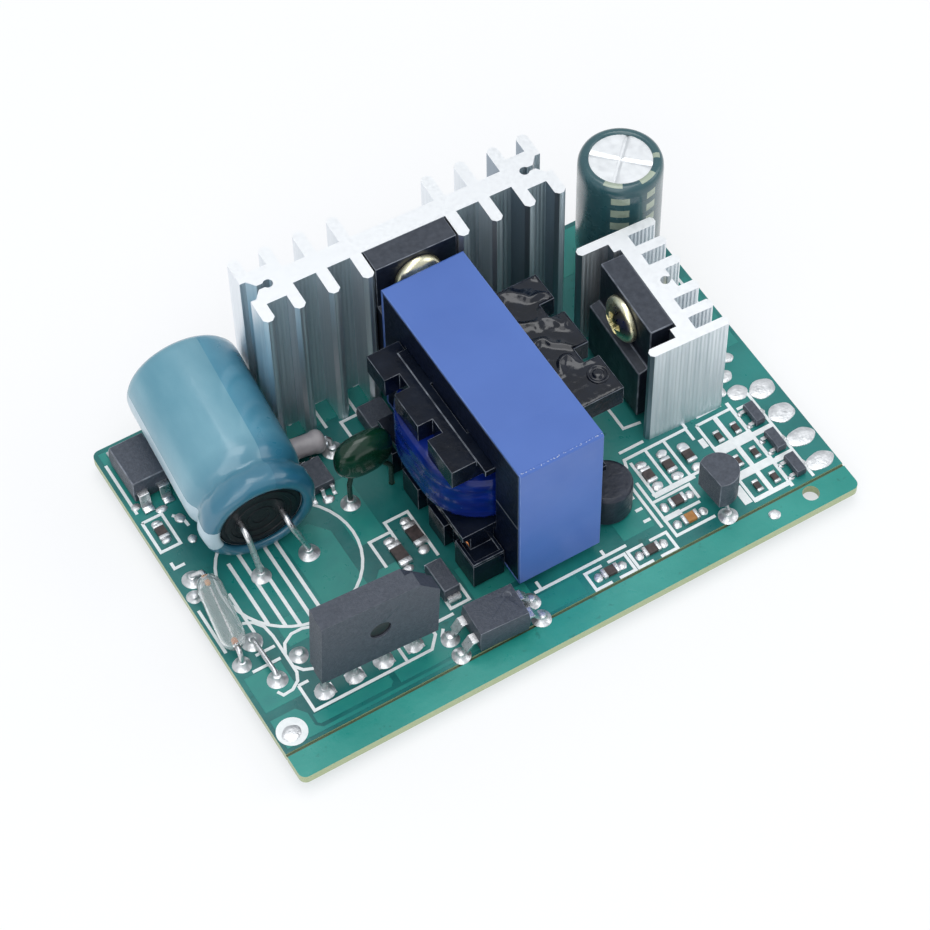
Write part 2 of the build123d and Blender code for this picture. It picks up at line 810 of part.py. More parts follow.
with BuildPart() as small_heatsink:
    with BuildSketch(side_sink_plane):
        with Locations((side_plate_left, side_sink_start + side_wall_thickness / 2)):
            Rectangle(
                side_plate_thickness,
                side_sink_depth - side_wall_thickness,
                align=(Align.MIN, Align.MIN),
            )
        with Locations(
            (side_sink_width / 2, side_sink_start + side_wall_thickness / 2),
            (side_sink_width / 2, side_sink_end - side_wall_thickness / 2),
        ):
            add(blunt_bar(side_sink_width, side_wall_thickness))
        with Locations(*[((side_fin_root + side_fin_length) / 2, y) for y in side_fins]):
            add(blunt_bar(side_fin_length - side_fin_root, side_fin_thickness))
        with Locations((side_plate_right, side_slot_line)):
            Rectangle(
                2 * side_fin_thickness,
                2 * side_fin_inner,
                align=(Align.CENTER, Align.CENTER),
            )
        with Locations((side_slot_inset, side_slot_line)):
            Circle(sink_slot_diameter / 2, mode=Mode.SUBTRACT)
            Rectangle(
                2 * side_fin_thickness,
                sink_slot_neck,
                align=(Align.MIN, Align.CENTER),
                mode=Mode.SUBTRACT,
            )
        with Locations((side_plate_left, side_slot_line)):
            Rectangle(2 * side_recess_depth, side_recess_length, mode=Mode.SUBTRACT)
    extrude(amount=side_sink_height)
    with Locations(
        wall_plane(
            *turned(side_sink_corner, side_sink_turn, 0, rectifier_place),
            side_sink_height - device_screw_drop,
            side_sink_turn - 90,
        )
    ):
        Cylinder(
            screw_diameter / 2 + pin_clearance,
            side_sink_width,
            align=(Align.CENTER, Align.CENTER, Align.MAX),
            mode=Mode.SUBTRACT,
        )
small_heatsink.part.label = "small_heatsink"
export_step(small_heatsink.part, "parts/small_heatsink.step")


def flat_leads(spots, turn, low, high):
    """Three flat leads of a power device, cut off in their holes."""
    with BuildPart() as leads:
        with Locations(*[board_plane(u, v, low, turn) for u, v in spots]):
            Box(
                device_lead_width,
                device_lead_thickness,
                high - low,
                align=(Align.CENTER, Align.CENTER, Align.MIN),
            )
    return leads.part


def power_package(back_plane, width, leads):
    """Full moulded package: thick body, thin tab with a screw hole, leads out of its foot."""
    with BuildPart() as package:
        with BuildSketch(side_on(back_plane)):
            with BuildLine():
                Polyline(
                    (0, 0),
                    (device_thickness, 0),
                    (device_thickness, device_height - device_tab_height),
                    (device_tab_thickness, device_height - device_tab_height + device_tab_slope),
                    (device_tab_thickness, device_height),
                    (0, device_height),
                    close=True,
                )
            make_face()
        extrude(amount=width / 2, both=True)
        with BuildSketch(back_plane):
            with Locations((0, device_height - device_screw_drop)):
                Circle(screw_diameter / 2 + screw_clearance)
        extrude(amount=device_thickness, mode=Mode.SUBTRACT)
        add(leads, mode=Mode.SUBTRACT)
    return package.part


def pan_screw(tab_plane, length):
    """Pan-head screw with a cross recess, its head on the tab."""
    with BuildPart() as screw:
        with BuildSketch(tab_plane):
            Circle(screw_head_diameter / 2)
        extrude(amount=screw_head_height)
        rims = screw.edges().filter_by(GeomType.CIRCLE)
        chamfer(rims.sort_by(Axis(tab_plane.origin, tab_plane.z_dir))[-1], length=screw_head_edge)
        with BuildSketch(tab_plane.offset(screw_head_height)):
            Rectangle(screw_cross_length, screw_cross_width)
            Rectangle(screw_cross_width, screw_cross_length)
        extrude(amount=-screw_cross_depth, mode=Mode.SUBTRACT)
        with BuildSketch(tab_plane):
            Circle(screw_diameter / 2)
        extrude(amount=-length)
    return screw.part


# Power transistor on the large heatsink
transistor_plane = wall_plane(
    *turned(sink_corner, sink_turn, transistor_middle, sink_plate_front),
    sink_height - device_height,
    sink_turn,
)
with BuildPart() as transistor_leads:
    add(flat_leads(
        transistor_holes,
        sink_turn,
        -board_thickness,
        sink_height - device_height + device_lead_bury,
    ))
transistor_leads.part.label = "transistor_leads"
export_step(transistor_leads.part, "parts/transistor_leads.step")

with BuildPart() as transistor_body:
    add(power_package(transistor_plane, transistor_width, transistor_leads.part))
transistor_body.part.label = "transistor_body"
export_step(transistor_body.part, "parts/transistor_body.step")

with BuildPart() as transistor_screw:
    add(pan_screw(
        wall_plane(
            *turned(sink_corner, sink_turn, transistor_middle, sink_plate_front - device_tab_thickness),
            sink_height - device_screw_drop,
            sink_turn,
        ),
        device_tab_thickness + sink_plate_thickness + screw_end,
    ))
transistor_screw.part.label = "transistor_screw"
export_step(transistor_screw.part, "parts/transistor_screw.step")

# Output rectifier in the recess of the small heatsink
rectifier_plane = wall_plane(
    *turned(side_sink_corner, side_sink_turn, rectifier_back, rectifier_place),
    side_sink_height - device_height,
    side_sink_turn - 90,
)
with BuildPart() as rectifier_leads:
    add(flat_leads(
        rectifier_holes,
        side_sink_turn - 90,
        -board_thickness,
        side_sink_height - device_height + device_lead_bury,
    ))
rectifier_leads.part.label = "rectifier_leads"
export_step(rectifier_leads.part, "parts/rectifier_leads.step")

with BuildPart() as rectifier_body:
    add(power_package(rectifier_plane, rectifier_width, rectifier_leads.part))
rectifier_body.part.label = "rectifier_body"
export_step(rectifier_body.part, "parts/rectifier_body.step")

with BuildPart() as rectifier_screw:
    add(pan_screw(
        wall_plane(
            *turned(
                side_sink_corner, side_sink_turn, rectifier_back - device_tab_thickness, rectifier_place
            ),
            side_sink_height - device_screw_drop,
            side_sink_turn - 90,
        ),
        device_tab_thickness + side_plate_thickness - side_recess_depth + screw_end,
    ))
rectifier_screw.part.label = "rectifier_screw"
export_step(rectifier_screw.part, "parts/rectifier_screw.step")

# Transformer: two E-shaped ferrite halves stacked upright round a moulded bobbin
core_height_middle = core_bottom_height + core_half_height
core_top_height = core_height_middle + core_half_height
core_window = (core_length - core_centre_leg) / 2 - core_leg
core_face = Plane(
    origin=point(core_middle[0] - core_width / 2, core_middle[1], core_height_middle),
    x_dir=(0, 1, 0),
    z_dir=(1, 0, 0),
)


def core_half(upward):
    """One E-shaped half, above or below the joint of the legs."""
    rise = upward * core_half_height
    with BuildPart() as half:
        with BuildSketch(core_face):
            with Locations((0, rise / 2)):
                Rectangle(core_length, core_half_height)
            with Locations(*[
                (side * (core_centre_leg + core_window) / 2, (rise - upward * core_yoke) / 2)
                for side in (-1, 1)
            ]):
                Rectangle(core_window, core_half_height - core_yoke, mode=Mode.SUBTRACT)
        extrude(amount=core_width)
    return half.part


with BuildPart() as transformer_core_top:
    add(core_half(1))
transformer_core_top.part.label = "transformer_core_top"
export_step(transformer_core_top.part, "parts/transformer_core_top.step")

with BuildPart() as transformer_core_bottom:
    add(core_half(-1))
transformer_core_bottom.part.label = "transformer_core_bottom"
export_step(transformer_core_bottom.part, "parts/transformer_core_bottom.step")

with BuildPart() as transformer_tape:
    with BuildSketch(core_face):
        RectangleRounded(
            core_length + 2 * tape_thickness,
            2 * core_half_height + 2 * tape_thickness,
            tape_thickness,
        )
        Rectangle(core_length, 2 * core_half_height, mode=Mode.SUBTRACT)
    extrude(amount=core_width)
transformer_tape.part.label = "transformer_tape"
export_step(transformer_tape.part, "parts/transformer_tape.step")

with BuildPart() as transformer_pins:
    add(pegs(
        transformer_holes,
        transformer_pin_diameter,
        -board_thickness,
        pin_rail_top - transformer_pin_cover,
    ))
transformer_pins.part.label = "transformer_pins"
export_step(transformer_pins.part, "parts/transformer_pins.step")

core_side = core_width / 2 + bobbin_clearance
flange_thick_bottom = flange_top_height - flange_thickness
flange_thin_bottom = core_top_height - core_yoke - bobbin_clearance - flange_thin
coil_floor = core_bottom_height + core_yoke + bobbin_clearance
flange_middle = core_middle[1] + flange_shift
window_length = core_centre_leg + 2 * core_window - 2 * bobbin_clearance
tube_size = (
    core_width + 2 * (bobbin_clearance + bobbin_wall),
    core_centre_leg + 2 * (bobbin_clearance + bobbin_wall),
)

rail_end = pin_rail_middle + pin_rail_left_length / 2
rail_slots = [pin_rail_middle + i * transformer_pin_pitch for i in (-1, 0, 1)]

with BuildPart() as transformer_bobbin:
    for side, rail_start in ((-1, rail_end - pin_rail_left_length), (1, pin_rail_right_start)):
        outward = Align.MAX if side < 0 else Align.MIN
        foot = (core_middle[0] + side * core_side, rail_start)
        with BuildSketch(board_plane(*foot, pin_rail_bottom)):
            Rectangle(pin_rail_reach - core_side, rail_end - rail_start, align=(outward, Align.MIN))
            with Locations(*[
                (side * (pin_rail_reach - core_side), slot_line - rail_start) for slot_line in rail_slots
            ]):
                Rectangle(2 * pin_rail_slot_depth, pin_rail_slot_width, mode=Mode.SUBTRACT)
        extrude(amount=pin_rail_top - pin_rail_bottom)
        web_start = max(rail_start, core_middle[1] - window_length / 2)
        with Locations(board_plane(foot[0], web_start, pin_rail_top)):
            Box(
                pin_rail_reach - core_side - bobbin_wall,
                core_middle[1] + window_length / 2 - web_start,
                coil_floor - pin_rail_top,
                align=(outward, Align.MIN, Align.MIN),
            )
    with BuildSketch(board_plane(*core_middle, coil_floor)):
        Rectangle(2 * pin_rail_reach, window_length)
    extrude(amount=flange_thin)
    with BuildSketch(board_plane(*core_middle, coil_floor)):
        Rectangle(*tube_size)
    extrude(amount=flange_thin_bottom + flange_thin - coil_floor)
    with BuildSketch(board_plane(*core_middle, flange_thin_bottom)):
        Rectangle(2 * core_side + 2 * bobbin_wall, window_length)
    extrude(amount=flange_thin)
    for side, reach in ((-1, flange_left_reach), (1, flange_right_reach)):
        with BuildSketch(board_plane(core_middle[0] + side * core_side, flange_middle, flange_thick_bottom)):
            Rectangle(
                reach - core_side,
                flange_length,
                align=(Align.MAX if side < 0 else Align.MIN, Align.CENTER),
            )
            with Locations(*[
                (side * (reach - core_side), flange_slot_shift + end * flange_slot_pitch / 2)
                for end in (-1, 1)
            ]):
                Rectangle(2 * flange_slot_depth, flange_slot_width, mode=Mode.SUBTRACT)
        extrude(amount=flange_thickness)
    with BuildSketch(board_plane(*core_middle, coil_floor)):
        Rectangle(core_width + 2 * bobbin_clearance, core_centre_leg + 2 * bobbin_clearance)
    extrude(amount=core_top_height - coil_floor, mode=Mode.SUBTRACT)
    add(transformer_pins.part, mode=Mode.SUBTRACT)
transformer_bobbin.part.label = "transformer_bobbin"
export_step(transformer_bobbin.part, "parts/transformer_bobbin.step")

coil_bottom = coil_floor + flange_thin
with BuildPart() as transformer_coil:
    with BuildSketch(board_plane(*core_middle, coil_bottom)):
        RectangleRounded(coil_width, coil_length, coil_corner_radius)
    extrude(amount=flange_thick_bottom - seat - coil_bottom)
    chamfer(transformer_coil.faces().sort_by(Axis.Z)[-1].edges(), length=coil_edge)
    chamfer(transformer_coil.faces().sort_by(Axis.Z)[0].edges(), length=coil_edge)
    with BuildSketch(board_plane(*core_middle, coil_bottom)):
        Rectangle(tube_size[0] + 2 * seat, tube_size[1] + 2 * seat)
    extrude(amount=flange_thick_bottom - coil_bottom, mode=Mode.SUBTRACT)
transformer_coil.part.label = "transformer_coil"
export_step(transformer_coil.part, "parts/transformer_coil.step")


def moulded_block(place, turn, length, width, bottom, height):
    """Package with drafted sides that meet at a parting line half way up."""
    with BuildPart() as block:
        with BuildSketch(board_plane(*place, bottom + height / 2, turn)):
            Rectangle(length, width)
        extrude(amount=height / 2, taper=mould_draft)
        with BuildSketch(board_plane(*place, bottom + height / 2, turn)):
            Rectangle(length, width)
        extrude(amount=-height / 2, taper=mould_draft)
    return block.part


def bent_strip(plane, route, width, thickness):
    """A flat lead bent along the route, which is drawn on the plane."""
    with BuildPart() as strip:
        with BuildSketch(plane):
            with BuildLine():
                Polyline(*route)
            trace(line_width=thickness)
        extrude(amount=width / 2, both=True)
    return strip.part


# Coupler beside the bridge
coupler_middle_height = coupler_bottom + coupler_height / 2
coupler_shoulder = coupler_hole_spread / 2 - coupler_lead_level
with BuildPart() as coupler_leads:
    for side, turn in ((-1, coupler_turn + 180), (1, coupler_turn)):
        for row in (-1, 1):
            spot = turned(coupler_place, coupler_turn, 0, row * coupler_lead_pitch / 2)
            plane = wall_plane(*spot, 0, turn)
            add(bent_strip(
                plane,
                [
                    (coupler_length / 2 - coupler_lead_bury, coupler_middle_height),
                    (coupler_shoulder, coupler_middle_height),
                    (coupler_hole_spread / 2 - coupler_blade_end, coupler_middle_height / 2),
                ],
                coupler_lead_width,
                coupler_lead_thickness,
            ))
            add(bent_strip(
                plane,
                [
                    (
                        coupler_hole_spread / 2 - coupler_tail_start,
                        coupler_middle_height * coupler_tail_share,
                    ),
                    (coupler_hole_spread / 2, dome_height / 2),
                    (coupler_hole_spread / 2, -board_thickness),
                ],
                coupler_lead_narrow,
                coupler_lead_thickness,
            ))
coupler_leads.part.label = "coupler_leads"
export_step(coupler_leads.part, "parts/coupler_leads.step")

with BuildPart() as coupler_body:
    add(moulded_block(
        coupler_place, coupler_turn, coupler_length, coupler_width, coupler_bottom, coupler_height
    ))
    with Locations(board_plane(
        *turned(
            coupler_place,
            coupler_turn,
            coupler_length / 2 - coupler_dimple_inset[0],
            coupler_width / 2 - coupler_dimple_inset[1],
        ),
        coupler_bottom + coupler_height,
        coupler_turn,
    )):
        Cylinder(coupler_dimple_radius, coupler_dimple_depth, mode=Mode.SUBTRACT)
    add(coupler_leads.part, mode=Mode.SUBTRACT)
coupler_body.part.label = "coupler_body"
export_step(coupler_body.part, "parts/coupler_body.step")

# Four-lead block at the rear left
block_middle_height = block_bottom + coupler_height / 2
with BuildPart() as rear_block_leads:
    for turn in (90, 270):
        for row in (-1, 1):
            spot = (block_place[0] + row * coupler_lead_pitch / 2, block_place[1])
            add(bent_strip(
                wall_plane(*spot, 0, turn),
                [
                    (coupler_length / 2 - coupler_lead_bury, block_middle_height),
                    (coupler_length / 2 + block_lead_level, block_middle_height),
                    (block_reach - block_lead_foot, coupler_lead_thickness / 2 + seat),
                    (block_reach, coupler_lead_thickness / 2 + seat),
                ],
                coupler_lead_width,
                coupler_lead_thickness,
            ))
rear_block_leads.part.label = "rear_block_leads"
export_step(rear_block_leads.part, "parts/rear_block_leads.step")

with BuildPart() as rear_block_body:
    add(moulded_block(block_place, 90, coupler_length, coupler_width, block_bottom, coupler_height))
    add(rear_block_leads.part, mode=Mode.SUBTRACT)
rear_block_body.part.label = "rear_block_body"
export_step(rear_block_body.part, "parts/rear_block_body.step")

# Controller
controller_height = controller_top - controller_standoff
controller_middle_height = controller_standoff + controller_height / 2
controller_foot_height = controller_lead_thickness / 2 + seat
with BuildPart() as controller_leads:
    for turn in (90, 270):
        for column in controller_columns:
            spot = (controller_place[0] + column * controller_lead_pitch, controller_place[1])
            add(bent_strip(
                wall_plane(*spot, 0, turn),
                [
                    (controller_width / 2 - controller_lead_level, controller_middle_height),
                    (controller_width / 2 + controller_lead_level, controller_middle_height),
                    (controller_width / 2 + controller_lead_fall, controller_foot_height),
                    (controller_width / 2 + controller_lead_reach, controller_foot_height),
                ],
                controller_lead_width,
                controller_lead_thickness,
            ))
controller_leads.part.label = "controller_leads"
export_step(controller_leads.part, "parts/controller_leads.step")

with BuildPart() as controller_body:
    add(moulded_block(
        controller_place, 0, controller_length, controller_width, controller_standoff, controller_height
    ))
    add(controller_leads.part, mode=Mode.SUBTRACT)
controller_body.part.label = "controller_body"
export_step(controller_body.part, "parts/controller_body.step")

# Dipped film capacitor, a flat pebble of lacquer on two legs
film_bottom = film_middle_height - film_height / 2
with BuildPart() as film_capacitor_leads:
    for side, (u, v) in zip((-1, 1), film_holes):
        add(bent_wire(
            [
                point(u, film_place[1], film_bottom + film_lead_bury),
                point(u, film_place[1], film_bottom - film_lead_level),
                point(u, v, dome_height),
                point(u, v, -board_thickness),
            ],
            film_lead_diameter,
            film_lead_bend,
        ))
film_capacitor_leads.part.label = "film_capacitor_leads"
export_step(film_capacitor_leads.part, "parts/film_capacitor_leads.step")

with BuildPart() as film_capacitor_body:
    with BuildSketch(wall_plane(*film_place, film_middle_height)):
        RectangleRounded(film_length, film_height, film_corner_radius)
    extrude(amount=film_thickness / 2, both=True)
    chamfer(film_capacitor_body.edges().group_by(Axis.Y)[0], length=film_edge)
    chamfer(film_capacitor_body.edges().group_by(Axis.Y)[-1], length=film_edge)
    add(film_capacitor_leads.part, mode=Mode.SUBTRACT)
film_capacitor_body.part.label = "film_capacitor_body"
export_step(film_capacitor_body.part, "parts/film_capacitor_body.step")

# Fuse: a glass tube closed by seals at both ends, a wire through it and a lead at each end
fuse_length = ((fuse_rear[0] - fuse_front[0]) ** 2 + (fuse_rear[1] - fuse_front[1]) ** 2) ** 0.5
fuse_plane = Plane(
    origin=point(*fuse_front, fuse_axis_height),
    x_dir=(0, 0, 1),
    z_dir=(fuse_rear[0] - fuse_front[0], fuse_rear[1] - fuse_front[1], 0),
)
with BuildPart() as fuse_tube:
    with Locations(fuse_plane):
        Cylinder(fuse_radius, fuse_length, align=(Align.CENTER, Align.CENTER, Align.MIN))
    chamfer(fuse_tube.edges().filter_by(GeomType.CIRCLE), length=fuse_end)
    with Locations(fuse_plane.offset(fuse_wall)):
        Cylinder(
            fuse_radius - fuse_wall,
            fuse_length - 2 * fuse_wall,
            align=(Align.CENTER, Align.CENTER, Align.MIN),
            mode=Mode.SUBTRACT,
        )
    with Locations(fuse_plane):
        Cylinder(
            fuse_seal_radius,
            fuse_length,
            align=(Align.CENTER, Align.CENTER, Align.MIN),
            mode=Mode.SUBTRACT,
        )
fuse_tube.part.label = "fuse_tube"
export_step(fuse_tube.part, "parts/fuse_tube.step")

with BuildPart() as fuse_leads:
    for (u, v), end, outward in ((fuse_holes[0], 0, -1), (fuse_holes[1], fuse_length, 1)):
        add(bent_wire(
            [
                fuse_plane.from_local_coords((0, 0, end - outward * fuse_seal_depth)),
                fuse_plane.from_local_coords((0, 0, end + outward * fuse_lead_run)),
                point(u, v, dome_height),
                point(u, v, -board_thickness),
            ],
            fuse_lead_diameter,
            fuse_lead_bend,
        ))
fuse_leads.part.label = "fuse_leads"
export_step(fuse_leads.part, "parts/fuse_leads.step")

with BuildPart() as fuse_seals:
    for end, side in ((-seat, Align.MIN), (fuse_length + seat, Align.MAX)):
        with Locations(fuse_plane.offset(end)):
            Cylinder(
                fuse_seal_radius - seat,
                fuse_seal_depth,
                align=(Align.CENTER, Align.CENTER, side),
            )
    add(fuse_leads.part, mode=Mode.SUBTRACT)
fuse_seals.part.label = "fuse_seals"
export_step(fuse_seals.part, "parts/fuse_seals.step")

with BuildPart() as fuse_element:
    with Locations(fuse_plane.offset(fuse_seal_depth)):
        Cylinder(
            fuse_element_diameter / 2,
            fuse_length - 2 * fuse_seal_depth,
            align=(Align.CENTER, Align.CENTER, Align.MIN),
        )
fuse_element.part.label = "fuse_element"
export_step(fuse_element.part, "parts/fuse_element.step")

# Wire link
with BuildPart() as wire_link:
    (rear_u, rear_v), (front_u, front_v) = link_holes
    add(bent_wire(
        [
            point(rear_u, rear_v, -board_thickness),
            point(rear_u, rear_v, link_height),
            point(front_u, front_v, link_height),
            point(front_u, front_v, -board_thickness),
        ],
        link_diameter,
        link_diameter,
    ))
wire_link.part.label = "wire_link"
export_step(wire_link.part, "parts/wire_link.step")


def half_round(place, turn, flat_side, leads):
    """Small moulded package with a flat face on one side and a round back."""
    with BuildPart() as package:
        with BuildSketch(board_plane(*place, half_round_bottom, turn)):
            Circle(half_round_width / 2)
            with Locations((0, flat_side * (half_round_depth - half_round_width / 2))):
                Rectangle(
                    half_round_width,
                    half_round_width,
                    align=(Align.CENTER, Align.MIN if flat_side > 0 else Align.MAX),
                    mode=Mode.SUBTRACT,
                )
        extrude(amount=half_round_height)
        add(leads, mode=Mode.SUBTRACT)
    return package.part


# Regulator with its outer leads spread
with BuildPart() as regulator_leads:
    for side in (-1, 1):
        foot = turned(regulator_place, regulator_turn, side * half_round_foot_pitch, 0)
        hole = turned(regulator_place, regulator_turn, side * regulator_pitch, 0)
        add(bent_wire(
            [
                point(*foot, half_round_bottom + regulator_lead_bury),
                point(*foot, half_round_bottom - regulator_lead_level),
                point(*hole, dome_height / 2),
                point(*hole, -board_thickness),
            ],
            half_round_lead,
            regulator_lead_bend,
        ))
    add(pegs(
        [regulator_place], half_round_lead, -board_thickness, half_round_bottom + regulator_lead_bury
    ))
regulator_leads.part.label = "regulator_leads"
export_step(regulator_leads.part, "parts/regulator_leads.step")

with BuildPart() as regulator_body:
    add(half_round(regulator_place, regulator_turn, 1, regulator_leads.part))
regulator_body.part.label = "regulator_body"
export_step(regulator_body.part, "parts/regulator_body.step")

# Drum choke: a wound ferrite drum in shrunk tube, close against the transformer
with BuildPart() as choke_leads:
    add(pegs(choke_holes, choke_lead_diameter, -board_thickness, choke_bottom + choke_lead_bury))
choke_leads.part.label = "choke_leads"
export_step(choke_leads.part, "parts/choke_leads.step")

with BuildPart() as choke_body:
    with BuildSketch(board_plane(*choke_place, choke_bottom)):
        Circle(choke_radius)
    extrude(amount=choke_height)
    chamfer(choke_body.edges().filter_by(GeomType.CIRCLE), length=choke_edge)
    add(choke_leads.part, mode=Mode.SUBTRACT)
choke_body.part.label = "choke_body"
export_step(choke_body.part, "parts/choke_body.step")

# Axial resistor: a body with swollen ends, lying close to the board
resistor_plane = Plane(
    origin=point(*resistor_place, resistor_axis_height),
    x_dir=(0, 0, 1),
    z_dir=(cos(radians(resistor_turn)), sin(radians(resistor_turn)), 0),
)
with BuildPart() as snubber_resistor_leads:
    for side, (u, v) in zip((-1, 1), resistor_holes):
        add(bent_wire(
            [
                resistor_plane.from_local_coords((0, 0, side * (resistor_length / 2 - resistor_end_length))),
                resistor_plane.from_local_coords((0, 0, side * (resistor_length / 2 + resistor_lead_run))),
                point(u, v, resistor_lead_drop),
                point(u, v, -board_thickness),
            ],
            resistor_lead_diameter,
            resistor_lead_bend,
        ))
snubber_resistor_leads.part.label = "snubber_resistor_leads"
export_step(snubber_resistor_leads.part, "parts/snubber_resistor_leads.step")

with BuildPart() as snubber_resistor_body:
    with Locations(resistor_plane):
        Cylinder(resistor_radius - resistor_waist, resistor_length)
    for side in (-1, 1):
        with Locations(resistor_plane.offset(side * (resistor_length - resistor_end_length) / 2)):
            Cylinder(resistor_radius, resistor_end_length)
    rims = snubber_resistor_body.edges().filter_by(GeomType.CIRCLE)
    ranked = rims.sort_by(Axis(resistor_plane.origin, resistor_plane.z_dir))
    chamfer([ranked[0], ranked[-1]], length=resistor_end)
    add(snubber_resistor_leads.part, mode=Mode.SUBTRACT)
snubber_resistor_body.part.label = "snubber_resistor_body"
export_step(snubber_resistor_body.part, "parts/snubber_resistor_body.step")

# Surface diodes: moulded bodies with a tab folded under each end
for name, place, size in (
    ("box_diode_body", box_diode_place, box_diode_size),
    ("slim_diode_body", slim_diode_place, slim_diode_size),
):
    with BuildPart() as diode:
        add(moulded_block(place, 90, size[1], size[0], seat, size[2]))
    diode.part.label = name
    export_step(diode.part, f"parts/{name}.step")

with BuildPart() as diode_tabs:
    for place, size in ((box_diode_place, box_diode_size), (slim_diode_place, slim_diode_size)):
        for side in (-1, 1):
            edge = place[1] + side * (size[1] / 2 + seat)
            with Locations(board_plane(place[0], edge)):
                Box(
                    diode_tab_width,
                    diode_tab_reach,
                    diode_tab_height,
                    align=(Align.CENTER, Align.MIN if side > 0 else Align.MAX, Align.MIN),
                )
diode_tabs.part.label = "diode_tabs"
export_step(diode_tabs.part, "parts/diode_tabs.step")

# Chip parts: a flat ceramic body between two plated ends
output_grid = [
    (
        output_grid_middle[0] + column * output_grid_pitch[0] / 2,
        output_grid_middle[1] + row * output_grid_pitch[1],
    )
    for column in (-1, 1)
    for row in (-1, 0, 1)
]
triple_row = [(triple_row_middle[0] + i * triple_row_pitch, triple_row_middle[1]) for i in (-1, 0, 1)]
chip_groups = [
    (output_grid, small_chip, 90),
    (triple_row, middle_chip, 90),
    ([feedback_chip] + sense_row, middle_chip, 0),
    (start_chips, large_chip, start_chip_turn),
    ([rear_chip], middle_chip, 90),
]
capacitor_chips = [([orange_chip], middle_chip, 0)]


def chip_middles(groups):
    """The ceramic between the plated ends of each chip."""
    with BuildPart() as middles:
        for spots, (length, width, height), turn in groups:
            with Locations(*[board_plane(u, v, seat, turn) for u, v in spots]):
                Box(
                    length * (1 - 2 * chip_end_share),
                    width - 2 * chip_end_overlap,
                    height - chip_end_overlap,
                    align=(Align.CENTER, Align.CENTER, Align.MIN),
                )
    return middles.part


def chip_caps(groups):
    """The plated ends of each chip."""
    with BuildPart() as caps:
        for spots, (length, width, height), turn in groups:
            shift = length * (1 - chip_end_share) / 2
            ends = [turned(spot, turn, side * shift, 0) for spot in spots for side in (-1, 1)]
            with Locations(*[board_plane(u, v, 0, turn) for u, v in ends]):
                Box(
                    length * chip_end_share,
                    width,
                    height,
                    align=(Align.CENTER, Align.CENTER, Align.MIN),
                )
    return caps.part


with BuildPart() as chip_resistor_bodies:
    add(chip_middles(chip_groups))
chip_resistor_bodies.part.label = "chip_resistor_bodies"
export_step(chip_resistor_bodies.part, "parts/chip_resistor_bodies.step")

with BuildPart() as chip_capacitor_body:
    add(chip_middles(capacitor_chips))
chip_capacitor_body.part.label = "chip_capacitor_body"
export_step(chip_capacitor_body.part, "parts/chip_capacitor_body.step")

with BuildPart() as chip_ends:
    add(chip_caps(chip_groups + capacitor_chips))
chip_ends.part.label = "chip_ends"
export_step(chip_ends.part, "parts/chip_ends.step")

# Three-lead packages by the output pads
sot_places = [(sot_column, v) for v in sot_rows]
with BuildPart() as sot_bodies:
    for place in sot_places:
        add(moulded_block(place, 0, sot_size[0], sot_size[1], controller_standoff, sot_size[2]))
sot_bodies.part.label = "sot_bodies"
export_step(sot_bodies.part, "parts/sot_bodies.step")

with BuildPart() as sot_leads:
    for u, v in sot_places:
        for side, row in ((-1, -1), (-1, 1), (1, 0)):
            with Locations(board_plane(u + side * sot_size[0] / 2, v + row * sot_lead_pitch / 2)):
                Box(
                    sot_lead_reach,
                    sot_lead_width,
                    sot_lead_height,
                    align=(Align.MIN if side > 0 else Align.MAX, Align.CENTER, Align.MIN),
                )
sot_leads.part.label = "sot_leads"
export_step(sot_leads.part, "parts/sot_leads.step")

# Tinned pads on the top face
output_pads = [
    (output_pad_column, output_pad_first + i * output_pad_pitch) for i in range(output_pad_count)
]
with BuildPart() as tinned_pads:
    with BuildSketch(board_plane(0, 0)) as pads:
        with Locations(*output_pads):
            Rectangle(*output_pad_size)
        with Locations(input_pad):
            Rectangle(*input_pad_size)
        chamfer(pads.vertices(), length=pad_corner)
        with Locations(*side_pads):
            RegularPolygon(side_pad_diameter / 2, wire_sides)
    extrude(amount=pad_rise, taper=45)
tinned_pads.part.label = "tinned_pads"
export_step(tinned_pads.part, "parts/tinned_pads.step")

# Domes of solder where leads come up through the board
dome_groups = [
    (input_cap_holes, capacitor_lead_diameter, input_capacitor_leads.part),
    (bridge_holes, bridge_lead_diameter, bridge_rectifier_leads.part),
    (fuse_holes, fuse_lead_diameter, fuse_leads.part),
    (link_holes, link_diameter, wire_link.part),
    (lone_joints, link_diameter, None),
    (coupler_holes, coupler_lead_narrow, coupler_leads.part),
    (film_holes[:1], film_lead_diameter, film_capacitor_leads.part),
    (regulator_holes[:1], half_round_lead, regulator_leads.part),
    (resistor_holes[1:], resistor_lead_diameter, snubber_resistor_leads.part),
]
with BuildPart() as solder_joints_top:
    for spots, diameter, _ in dome_groups:
        add(solder_cones(spots, dome_spread, diameter / 2 + joint_nib, 0, dome_height))
    for _, _, leads in dome_groups:
        if leads:
            add(leads, mode=Mode.SUBTRACT)
solder_joints_top.part.label = "solder_joints_top"
export_step(solder_joints_top.part, "parts/solder_joints_top.step")
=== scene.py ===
import math
import random

import bmesh
import bpy
from mathutils import Matrix, Vector, noise


